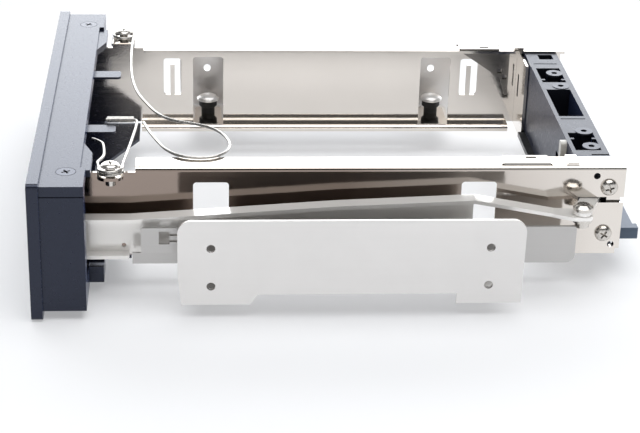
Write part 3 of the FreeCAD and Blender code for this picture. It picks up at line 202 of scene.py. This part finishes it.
class Surface:
    """A node material with one shader, and short ways to add texture to it."""

    def __init__(self, name, **sockets):
        self.material = bpy.data.materials.new(name)
        self.material.use_nodes = True
        self.tree = self.material.node_tree
        self.shader = self.tree.nodes["Principled BSDF"]
        for socket, value in sockets.items():
            self.shader.inputs[socket.replace("_", " ")].default_value = value
        self.coordinates = self.add("ShaderNodeTexCoord").outputs["Object"]

    def add(self, kind, **settings):
        node = self.tree.nodes.new(kind)
        for key, value in settings.items():
            setattr(node, key, value)
        return node

    def link(self, source, target):
        self.tree.links.new(source, target)

    def stretched(self, scale):
        """Object coordinates scaled by different amounts along each axis."""
        mapping = self.add("ShaderNodeMapping")
        mapping.inputs["Scale"].default_value = scale
        self.link(self.coordinates, mapping.inputs["Vector"])
        return mapping.outputs["Vector"]

    def noise(self, scale, detail=2.0, roughness=0.5, stretch=None):
        node = self.add("ShaderNodeTexNoise")
        node.inputs["Scale"].default_value = 1.0 if stretch else scale
        node.inputs["Detail"].default_value = detail
        node.inputs["Roughness"].default_value = roughness
        vector = self.coordinates
        if stretch:
            vector = self.stretched(tuple(scale * part for part in stretch))
        self.link(vector, node.inputs["Vector"])
        return node.outputs["Fac"]

    def math(self, operation, first, second):
        node = self.add("ShaderNodeMath", operation=operation)
        self.link(first, node.inputs[0])
        self.link(second, node.inputs[1])
        return node.outputs[0]

    def range(self, source, low, high, start=0.3, end=0.7):
        """Maps start to low and end to high."""
        node = self.add("ShaderNodeMapRange")
        node.inputs["From Min"].default_value = start
        node.inputs["From Max"].default_value = end
        node.inputs["To Min"].default_value = low
        node.inputs["To Max"].default_value = high
        self.link(source, node.inputs["Value"])
        return node.outputs["Result"]

    def parts(self, vector):
        """The X, Y and Z of a vector."""
        node = self.add("ShaderNodeSeparateXYZ")
        self.link(vector, node.inputs[0])
        return node.outputs

    def facing(self):
        """The direction that a face looks in, in the cage's own frame."""
        return self.parts(self.add("ShaderNodeTexCoord").outputs["Normal"])

    def outward(self):
        """One on upright faces that look away from the cage's middle, and nought elsewhere."""
        product = self.math("MULTIPLY", self.parts(self.coordinates)["X"], self.facing()["X"])
        return self.range(product, 0.0, 1.0, 0.03, 0.046)

    def frontward(self, start, end):
        """Falls from one at the first depth to nought at the second, in metres."""
        return self.range(self.parts(self.coordinates)["Y"], 1.0, 0.0, start, end)

    def leftward(self, most):
        """Rises to the given share on faces that look to the left."""
        return self.range(self.facing()["X"], most, 0.0, -0.6, -0.3)

    def tint(self, factor, first, second):
        """Colours the shader with a blend of two colours."""
        node = self.add("ShaderNodeMix", data_type="RGBA")
        node.inputs[6].default_value = first
        node.inputs[7].default_value = second
        self.link(factor, node.inputs["Factor"])
        self.link(node.outputs[2], self.shader.inputs["Base Color"])

    def darken(self, share, tone):
        """Multiplies the colour by a tone, as far as the share says."""
        colour = self.shader.inputs["Base Color"]
        node = self.add("ShaderNodeMix", data_type="RGBA", blend_type="MULTIPLY")
        node.inputs[7].default_value = tone
        self.link(colour.links[0].from_socket, node.inputs[6])
        self.link(share, node.inputs["Factor"])
        self.link(node.outputs[2], colour)

    def rough(self, source, low, high):
        self.link(self.range(source, low, high), self.shader.inputs["Roughness"])

    def bump(self, height, strength, distance):
        node = self.add("ShaderNodeBump")
        node.inputs["Strength"].default_value = strength
        node.inputs["Distance"].default_value = distance
        self.link(height, node.inputs["Height"])
        normal = self.shader.inputs["Normal"]
        if normal.is_linked:
            self.link(normal.links[0].from_socket, node.inputs["Normal"])
        self.link(node.outputs["Normal"], normal)


def shade(colour, factor):
    return tuple(min(1.0, part * factor) for part in colour[:3]) + (1,)


def moulded(name, colour, gloss=0.42, grain=0.22, shine=0.6):
    """Fine-pitted plastic with faint flow marks, uneven gloss and a bluish glint."""
    surface = Surface(
        name,
        Specular_IOR_Level=shine,
        Specular_Tint=PLASTIC_GLINT,
        Sheen_Weight=0.08,
        Sheen_Roughness=0.35,
        Sheen_Tint=PLASTIC_BLOOM,
    )
    surface.tint(surface.noise(60, 3), shade(colour, 0.85), shade(colour, 1.25))
    surface.rough(surface.noise(900), gloss - 0.03, gloss + 0.04)
    surface.bump(surface.noise(5200, 2, 0.6), grain, 0.00002)
    surface.bump(surface.noise(30, 1), 0.015, 0.0004)
    return surface.material


def plated(name, colour, polish, dull, grain=0.2, orange=0.2, milk=0.0):
    """Plated sheet: fine rolling lines, soft blotches, orange peel and, with milk, a pale bloom."""
    surface = Surface(name, Metallic=1.0 - milk)
    surface.tint(surface.noise(38, 4, 0.55), shade(colour, 0.93), shade(colour, 1.05))
    surface.rough(surface.noise(700, 3, 0.6, stretch=ROLLED), polish, dull)
    surface.bump(surface.noise(3600, 2, 0.5, stretch=ROLLED), grain, 0.000008)
    surface.bump(surface.noise(1500, 3, 0.6), orange, 0.00002)
    surface.bump(surface.noise(40), 0.05, 0.0005)
    return surface


def turned_steel(name, colour):
    """Turned or drawn steel with small marks."""
    surface = Surface(name, Metallic=1.0)
    surface.tint(surface.noise(900), shade(colour, 0.8), shade(colour, 1.1))
    surface.rough(surface.noise(2600), 0.16, 0.32)
    surface.bump(surface.noise(6000), 0.12, 0.00002)
    return surface.material


def moulded_rubber(name, colour):
    """Matt rubber, a little dusty."""
    surface = Surface(name, Specular_IOR_Level=0.4)
    surface.tint(surface.noise(700, 3), shade(colour, 0.7), shade(colour, 1.8))
    surface.rough(surface.noise(500, 3), 0.5, 0.75)
    surface.bump(surface.noise(3000, 3, 0.7), 0.4, 0.00004)
    return surface.material


def laminate(name, colour):
    """Solder mask over weave."""
    surface = Surface(name, Coat_Weight=0.3, Coat_Roughness=0.2)
    weave = surface.add("ShaderNodeTexChecker")
    weave.inputs["Scale"].default_value = 2600
    surface.link(surface.coordinates, weave.inputs["Vector"])
    surface.tint(surface.noise(500, 3), shade(colour, 0.8), shade(colour, 1.3))
    surface.rough(surface.noise(400), 0.3, 0.45)
    surface.bump(weave.outputs["Fac"], 0.15, 0.00001)
    return surface.material


def lens(name, colour):
    """Clear plastic of a lamp."""
    surface = Surface(name, Transmission_Weight=0.7, IOR=1.49)
    surface.tint(surface.noise(800), shade(colour, 0.92), colour)
    surface.rough(surface.noise(900), 0.12, 0.22)
    surface.bump(surface.noise(1500), 0.1, 0.00003)
    return surface.material


def dress(nodes, material, edge=None):
    """Gives CAD nodes their finish and rounds their edges."""
    for name in nodes:
        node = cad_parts[name]
        node.data.materials.clear()
        node.data.materials.append(material)
        if edge:
            modifier = node.modifiers.new("edge", "BEVEL")
            modifier.width = edge
            modifier.segments = 2
            modifier.limit_method = "ANGLE"
            modifier.angle_limit = math.radians(35)
            modifier.use_clamp_overlap = True
            modifier.harden_normals = False


# Meshes


def piece(name, mesh, material):
    """Puts a mesh in the scene as a piece that rides on the cage itself."""
    item = bpy.data.objects.new(name, mesh)
    bpy.context.scene.collection.objects.link(item)
    item.data.materials.clear()
    item.data.materials.append(material)
    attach(item, "chassis")
    return item


def smoothed(mesh, sharp):
    """Shades a mesh smooth, apart from edges sharper than the angle in degrees."""
    mesh.shade_smooth()
    if sharp:
        mesh.set_sharp_from_angle(angle=math.radians(sharp))
    return mesh


def mesh_from(form, name, sharp=35):
    mesh = bpy.data.meshes.new(name)
    bmesh.ops.recalc_face_normals(form, faces=form.faces)
    form.to_mesh(mesh)
    form.free()
    return smoothed(mesh, sharp)


def lathe(outline, segments=40):
    """Turns an outline of radius and height in millimetres about Z."""
    form = bmesh.new()
    points = [form.verts.new((radius * MM, 0, height * MM)) for radius, height in outline]
    edges = [form.edges.new(pair) for pair in zip(points, points[1:])]
    bmesh.ops.spin(
        form,
        geom=points + edges,
        cent=(0, 0, 0),
        axis=(0, 0, 1),
        angle=math.tau,
        steps=segments,
        use_merge=True,
    )
    bmesh.ops.remove_doubles(form, verts=form.verts, dist=1e-7)
    return form


def carve(form, tool, name, sharp):
    """Cuts one form with another and returns the mesh that is left."""
    base = bpy.data.objects.new(name, mesh_from(form, name, sharp))
    cutter = bpy.data.objects.new(name + "_tool", mesh_from(tool, name + "_tool", None))
    for item in (base, cutter):
        bpy.context.scene.collection.objects.link(item)
    modifier = base.modifiers.new("cut", "BOOLEAN")
    modifier.operation = "DIFFERENCE"
    modifier.object = cutter
    modifier.solver = "EXACT"
    graph = bpy.context.evaluated_depsgraph_get()
    mesh = bpy.data.meshes.new_from_object(base.evaluated_get(graph))
    for item in (base, cutter):
        bpy.data.objects.remove(item)
    return smoothed(mesh, sharp)


def cross_recess(top, depth, sizes):
    """A plus-shaped, tapering tool, in millimetres, that opens at height top."""
    above = 1
    taper = 0.45
    width = sizes.recess_width / 2
    reach = sizes.recess_reach
    ring = []
    for quarter in range(4):
        turn = Matrix.Rotation(quarter * math.pi / 2, 3, "Z")
        for corner in ((reach, width), (width, width), (width, reach)):
            ring.append(turn @ Vector((*corner, 0)))
    form = bmesh.new()
    rim = Vector((0, 0, (top + above) * MM))
    root = Vector((0, 0, (top - depth) * MM))
    upper = [form.verts.new(point + rim) for point in ring]
    lower = [form.verts.new(point * taper + root) for point in ring]
    form.faces.new(upper)
    form.faces.new(list(reversed(lower)))
    for step, start in enumerate(upper):
        after = (step + 1) % len(ring)
        form.faces.new((start, lower[step], lower[after], upper[after]))
    return form


def screw_mesh(name, outline, depth, sizes):
    """A screw with a cross recess in the top of its head."""
    top = outline[0][1]
    return carve(lathe(outline), cross_recess(top, depth, sizes), name, 40)


def placed(mesh, centre, turn=UPRIGHT):
    """A copy of a mesh, turned and moved to a place."""
    copy = mesh.copy()
    copy.transform(Matrix.Translation(centre) @ turn.to_matrix().to_4x4())
    return copy


def joined(meshes, name):
    """One mesh made of several."""
    form = bmesh.new()
    for mesh in meshes:
        form.from_mesh(mesh)
    mesh = bpy.data.meshes.new(name)
    form.to_mesh(mesh)
    form.free()
    return smoothed(mesh, 40)


def wire(name, points, radius, material):
    """A round spring wire along a smooth line that the points control."""
    curve = bpy.data.curves.new(name, "CURVE")
    curve.dimensions = "3D"
    curve.bevel_depth = radius
    curve.bevel_resolution = 4
    curve.resolution_u = 6
    curve.use_fill_caps = True
    spline = curve.splines.new("NURBS")
    spline.points.add(len(points) - 1)
    for target, point in zip(spline.points, points):
        target.co = (*point, 1)
    spline.order_u = 3
    spline.use_endpoint_u = True
    line = bpy.data.objects.new(name + "_line", curve)
    mesh = bpy.data.meshes.new_from_object(line)
    bpy.data.objects.remove(line)
    return piece(name, smoothed(mesh, 50), material)


def coil(side, top, turns, pitch):
    """Points down a post's coil, sixteen a turn. top is in millimetres and pitch in metres."""
    steps = 16
    points = []
    for step in range(int(abs(turns) * steps) + 1):
        share = step / steps
        angle = math.radians(COIL_START) + math.copysign(share, turns) * math.tau
        across = side * POST_X + COIL_RADIUS * math.cos(angle)
        along = POST_Y + COIL_RADIUS * math.sin(angle)
        points.append(spot(across, along, top - pitch / MM * share))
    return points


# Operators


class CageOperator(bpy.types.Operator):
    """Shared settings of the cage's operators."""

    bl_options = {"REGISTER", "UNDO"}


class DressBezel(CageOperator):
    """Black plastic on the bezel, door and button, clear lamp lenses, and the hinge bore's plug."""

    bl_idname = "cage.dress_bezel"
    bl_label = "Dress bezel"

    def execute(self, context):
        finish = context.scene.cage_finish
        sizes = context.scene.cage_sizes
        plastic = moulded("bezel plastic", finish.bezel, gloss=0.24, grain=0.12)
        dress(["bezel_frame", "door"], plastic, sizes.plastic_edge)
        button = moulded("button plastic", shade(finish.bezel, 1.7), gloss=0.3)
        dress(["release_button"], button, sizes.plastic_edge)
        dress(["lamp_lenses"], lens("lamp lens", finish.lamp), sizes.sheet_edge)
        cap = placed(mesh_from(lathe(CAP), "pin_cap"), spot(HINGE_X, HINGE_Y, BEZEL_TOP))
        piece("pin_cap", cap, plastic)
        return {"FINISHED"}


class DressRails(CageOperator):
    """Bright nickel on the folded rails and the rear bracket, with painted shade on outward faces
    towards the front, and darker steel on the guide clips.
    """

    bl_idname = "cage.dress_rails"
    bl_label = "Dress rails"

    def execute(self, context):
        finish = context.scene.cage_finish
        sizes = context.scene.cage_sizes
        nickel = plated("bright nickel", finish.nickel, 0.05, 0.13, grain=0.15, orange=0.35)
        # Painted shade: outward-looking upright faces are darkened by the painted shade tone,
        # fading out towards the rear, in place of dark reflections.
        share = nickel.math("MULTIPLY", nickel.outward(), nickel.frontward(0.0, 0.075))
        nickel.darken(share, finish.painted_shade)
        rails = ["side_rail_right", "side_rail_left", "rear_bracket"]
        dress(rails, nickel.material, sizes.fold_edge)
        clip = plated("clip steel", shade(finish.nickel, 0.42), 0.16, 0.28)
        dress(["guide_spring_right", "guide_spring_left"], clip.material, sizes.sheet_edge)
        return {"FINISHED"}


class DressBrackets(CageOperator):
    """Satin plate on the mounting brackets, and on the link's guard the same plate darkened as
    painted shade.
    """

    bl_idname = "cage.dress_brackets"
    bl_label = "Dress brackets"

    def execute(self, context):
        plate = context.scene.cage_finish.plate
        edge = context.scene.cage_sizes.sheet_edge
        satin = plated("satin plate", plate, 0.34, 0.44, grain=0.15, orange=0.3)
        dress(["mount_bracket_right", "mount_bracket_left"], satin.material, edge)
        # Painted shade: the guard gets the brackets' satin plate at two thirds brightness, standing
        # in for the shade it sits in.
        dull = plated("painted shade guard plate", shade(plate, 0.66), 0.3, 0.4, grain=0.15, orange=0.3)
        dress(["link_guard_right"], dull.material, edge)
        return {"FINISHED"}


class DressEjector(CageOperator):
    """Pale plated steel on the ejector's link and lever, with painted shade on faces that look to
    the left, and turned steel on the pins.
    """

    bl_idname = "cage.dress_ejector"
    bl_label = "Dress ejector"

    def execute(self, context):
        finish = context.scene.cage_finish
        sizes = context.scene.cage_sizes
        steel = plated("link steel", finish.link, 0.14, 0.26, grain=0.12, orange=0.2, milk=0.6)
        # Painted shade: faces looking to the left, towards the rail's web, are darkened as if in
        # shadow.
        steel.darken(steel.leftward(0.55), finish.painted_shade)
        dress(["eject_link", "eject_lever"], steel.material, sizes.fold_edge)
        pins = turned_steel("pin steel", finish.screw)
        dress(["link_rivet"], pins, sizes.sheet_edge)
        dress(["hinge_pins", "crank_pin", "lever_pin"], pins)
        return {"FINISHED"}


class DressDampers(CageOperator):
    """Waisted rubber bushes between the rails and the brackets."""

    bl_idname = "cage.dress_dampers"
    bl_label = "Dress dampers"

    def execute(self, context):
        bush = mesh_from(lathe(BUSH, 48), "bush", 50)
        bushes = [placed(bush, centre) for centre in damper_seats()]
        rubber = moulded_rubber("damper rubber", context.scene.cage_finish.rubber)
        item = piece("damper_bushes", joined(bushes, "damper_bushes"), rubber)
        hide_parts("rubber_dampers")
        return {"FINISHED"}


class DressConnector(CageOperator):
    """Plastic holder with rings on its bosses, laminate board, plug, sockets and ivory stop."""

    bl_idname = "cage.dress_connector"
    bl_label = "Dress connector"

    def execute(self, context):
        finish = context.scene.cage_finish
        sizes = context.scene.cage_sizes
        plastic = moulded("holder plastic", finish.holder, gloss=0.30, grain=0.15, shine=0.35)
        dress(["connector_holder"], plastic, sizes.plastic_edge)
        collar = mesh_from(lathe(COLLAR), "collar")
        collars = [placed(collar, spot(x, BOSS_Y, BOSS_TOP)) for x in BOSSES_X]
        paler = shade(finish.holder, 1.6)
        rings = moulded("collar plastic", paler, gloss=0.30, grain=0.15, shine=0.5)
        piece("boss_collars", joined(collars, "boss_collars"), rings)
        dress(["backplane_board"], laminate("board laminate", finish.board))
        dress(["drive_plug"], moulded("plug plastic", finish.holder, 0.45), sizes.sheet_edge)
        dress(["host_sockets"], moulded("socket plastic", finish.socket, 0.4), sizes.plastic_edge)
        dress(["bump_stop"], moulded("stop plastic", finish.stop, 0.4), sizes.sheet_edge)
        return {"FINISHED"}


def damper_seats():
    """Where the four dampers' screws sit, right side first."""
    return [spot(side * DAMPER_X, y, DAMPER_SEAT) for side in SIDES for y in DAMPERS_Y]


class AddScrews(CageOperator):
    """Cross-recess screws in the bezel, on the posts and at the rear, and discs on the dampers."""

    bl_idname = "cage.add_screws"
    bl_label = "Add screws"

    def execute(self, context):
        finish = context.scene.cage_finish
        sizes = context.scene.cage_sizes
        steel = turned_steel("screw steel", finish.screw)
        sunk = screw_mesh("sunk", SUNK_HEAD, 1.3, sizes)
        pan = screw_mesh("pan", PAN_HEAD, 1.3, sizes)
        post = screw_mesh("post", POST_HEAD, 0.9, sizes)
        black = turned_steel("blackened steel", finish.black_screw)
        seat = (BEZEL_SCREW_X, BEZEL_SCREW_Y, BEZEL_TOP)
        heads = [self.on(side, sunk, seat, side * 0.5) for side in SIDES]
        self.stand_for("bezel_screws", "bezel_screw_heads", heads, black)
        seat = (POST_X, POST_Y, POST_SCREW_SEAT)
        heads = [self.on(side, post, seat, 0.8 + side) for side in SIDES]
        self.stand_for("post_screws", "post_screw_heads", heads, steel)
        heads = []
        for side in SIDES:
            for y, z, turn in REAR_SCREWS:
                out = Matrix.Rotation(side * math.pi / 2, 3, "Y") @ Matrix.Rotation(turn, 3, "Z")
                heads.append(placed(pan, spot(side * RAIL_FACE, y, z), out.to_euler()))
        self.stand_for("rear_screws", "rear_screw_heads", heads, steel)
        disc = mesh_from(lathe(DISC_HEAD, 48), "disc", 60)
        heads = [placed(disc, centre) for centre in damper_seats()]
        pale = shade(finish.plate, 0.95)
        satin = plated("disc steel", pale, 0.28, 0.4, grain=0.1, orange=0.25, milk=0.35)
        self.stand_for("damper_screws", "damper_screw_heads", heads, satin.material)
        return {"FINISHED"}

    def on(self, side, mesh, seat, turn):
        """A screw from above on one side of the cage, turned by an angle in radians."""
        x, y, z = seat
        return placed(mesh, spot(side * x, y, z), Euler((0, 0, turn)))

    def stand_for(self, node, name, heads, material):
        """Joins screws into one piece that stands for a CAD node."""
        item = piece(name, joined(heads, name), material)
        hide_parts(node)


class AddSprings(CageOperator):
    """Wound torsion springs on the posts, their long legs, and the sleeve where these meet."""

    bl_idname = "cage.add_springs"
    bl_label = "Add springs"

    def execute(self, context):
        sizes = context.scene.cage_sizes
        steel = turned_steel("spring wire", context.scene.cage_finish.wire)
        radius = sizes.wire_radius
        pitch = sizes.coil_pitch
        low = LEG_HEIGHT
        high = low + COIL_TURNS * pitch / MM
        points = [spot(x, y, low) for x, y in RIGHT_LEG]
        points += [spot(x, y, z) for (x, y), z in zip(RIGHT_BEND, (low + 0.7, high - 0.1))]
        points += coil(1, high, -COIL_TURNS, pitch)
        points += [spot(x, y, low) for x, y in RIGHT_HOOK]
        right = wire("spring_right", points, radius, steel)
        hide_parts("torsion_spring_right")
        heights = [high, high - 0.3, low + 0.5, low + 0.2] + [low] * (len(LEFT_LOOP) - 4)
        points = [spot(x, y, z) for (x, y), z in zip(LEFT_LOOP, heights)]
        points.reverse()
        points += coil(-1, high, COIL_TURNS, pitch)
        points += [spot(x, y, low) for x, y in LEFT_HOOK]
        left = wire("spring_left", points, radius, steel)
        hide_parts("torsion_spring_left")
        dress(["wire_sleeve"], steel, sizes.sheet_edge)
        return {"FINISHED"}


class SetStage(CageOperator):
    """Pale floor, soft lights and the camera at the photograph's angle."""

    bl_idname = "cage.set_stage"
    bl_label = "Set stage"

    def execute(self, context):
        look = context.scene.cage_stage
        scene = context.scene
        self.camera(scene)
        self.floor(scene, look)
        self.light(scene, "key", place=(0.15, 0.1, 1.1), aim=(0, 0, 0), size=1.3, power=look.key)
        aim = (0, 0, 0.02)
        self.light(scene, "near_fill", (1.3, -0.5, 0.5), aim, size=0.9, power=look.fill)
        self.light(scene, "rear_fill", (-0.6, 0.9, 0.5), aim, size=0.8, power=look.fill)
        self.sky(scene, look)
        scene.view_settings.view_transform = "Standard"
        return {"FINISHED"}

    def camera(self, scene):
        camera = bpy.data.objects.new("camera", bpy.data.cameras.new("camera"))
        scene.collection.objects.link(camera)
        camera.data.lens = CAMERA_LENS
        camera.data.sensor_width = CAMERA_SENSOR
        camera.data.clip_start = 0.01
        camera.location = Vector(CAMERA_PLACE) * MM
        camera.rotation_euler = Euler([math.radians(angle) for angle in CAMERA_TURN])
        scene.camera = camera

    def sky(self, scene, look):
        """Pale near the horizon, dim above it, and a bright wall of light on the left."""
        world = bpy.data.worlds.new("sky")
        world.use_nodes = True
        nodes = world.node_tree.nodes
        link = world.node_tree.links.new
        coordinates = nodes.new("ShaderNodeTexCoord")
        split = nodes.new("ShaderNodeSeparateXYZ")
        link(coordinates.outputs["Generated"], split.inputs[0])

        def ramp(source, start, end, low, high):
            node = nodes.new("ShaderNodeMapRange")
            node.interpolation_type = "SMOOTHSTEP"
            sockets = ("From Min", "From Max", "To Min", "To Max")
            for socket, value in zip(sockets, (start, end, low, high)):
                node.inputs[socket].default_value = value
            link(source, node.inputs["Value"])
            return node.outputs["Result"]

        def combine(operation, first, second):
            node = nodes.new("ShaderNodeMath")
            node.operation = operation
            link(first, node.inputs[0])
            link(second, node.inputs[1])
            return node.outputs[0]

        horizon = ramp(split.outputs["Z"], 0.20, 0.36, look.sky, look.dusk)
        side = ramp(split.outputs["X"], -0.5, -0.8, 0, look.window)
        level = ramp(split.outputs["Z"], 0.58, 0.72, 1, 0)
        strength = combine("ADD", horizon, combine("MULTIPLY", side, level))
        background = nodes["Background"]
        background.inputs["Color"].default_value = (0.96, 0.98, 1, 1)
        link(strength, background.inputs["Strength"])
        scene.world = world

    def floor(self, scene, look):
        """Pale paper that keeps the cage's shadow and turns plain white further out."""
        below = 0.0004
        form = bmesh.new()
        bmesh.ops.create_grid(form, x_segments=1, y_segments=1, size=4)
        floor = bpy.data.objects.new("floor", mesh_from(form, "floor", None))
        floor.location.z = -below
        scene.collection.objects.link(floor)
        surface = Surface("floor paper", Roughness=0.9, Specular_IOR_Level=0.1)
        surface.tint(surface.noise(3), look.floor, shade(look.floor, 1.01))
        path = surface.add("ShaderNodeLightPath")
        seen = surface.math("MAXIMUM", path.outputs["Is Camera Ray"], path.outputs["Is Glossy Ray"])
        seen = surface.math("MAXIMUM", seen, path.outputs["Is Transmission Ray"])
        glow = surface.add("ShaderNodeEmission")
        glow.inputs["Color"].default_value = look.glow
        away = surface.add("ShaderNodeVectorMath", operation="LENGTH")
        surface.link(surface.coordinates, away.inputs[0])
        share = surface.range(away.outputs["Value"], look.lift, 1, 0.09, 0.32)
        mix = surface.add("ShaderNodeMixShader")
        surface.link(surface.math("MULTIPLY", seen, share), mix.inputs["Fac"])
        surface.link(surface.shader.outputs[0], mix.inputs[1])
        surface.link(glow.outputs[0], mix.inputs[2])
        surface.link(mix.outputs[0], surface.tree.nodes["Material Output"].inputs["Surface"])
        floor.data.materials.append(surface.material)

    def light(self, scene, name, place, aim, size, power):
        data = bpy.data.lights.new(name, "AREA")
        data.shape = "DISK"
        data.size = size
        data.energy = power
        lamp = bpy.data.objects.new(name, data)
        lamp.location = place
        lamp.rotation_euler = (Vector(aim) - Vector(place)).to_track_quat("-Z", "Y").to_euler()
        scene.collection.objects.link(lamp)


class CagePanel(bpy.types.Panel):
    """The dressing steps in the sidebar."""

    bl_idname = "VIEW3D_PT_drive_cage"
    bl_label = "Drive Cage"
    bl_space_type = "VIEW_3D"
    bl_region_type = "UI"
    bl_category = "Drive Cage"

    def draw(self, context):
        for step in STEPS:
            self.layout.operator(step.bl_idname)


STEPS = (
    SetStage,
    DressBezel,
    DressRails,
    DressBrackets,
    DressEjector,
    DressDampers,
    DressConnector,
    AddScrews,
    AddSprings,
)
SETTINGS = {"cage_finish": CageFinish, "cage_sizes": CageSizes, "cage_stage": StageLook}


def register():
    for group in (*SETTINGS.values(), *STEPS, CagePanel):
        bpy.utils.register_class(group)
    for name, group in SETTINGS.items():
        setattr(bpy.types.Scene, name, PointerProperty(type=group))


def unregister():
    for name in SETTINGS:
        delattr(bpy.types.Scene, name)
    for group in (CagePanel, *reversed(STEPS), *SETTINGS.values()):
        bpy.utils.unregister_class(group)


def main():
    register()
    for step in STEPS:
        family, action = step.bl_idname.split(".")
        getattr(getattr(bpy.ops, family), action)()


if __name__ == "__main__":
    main()
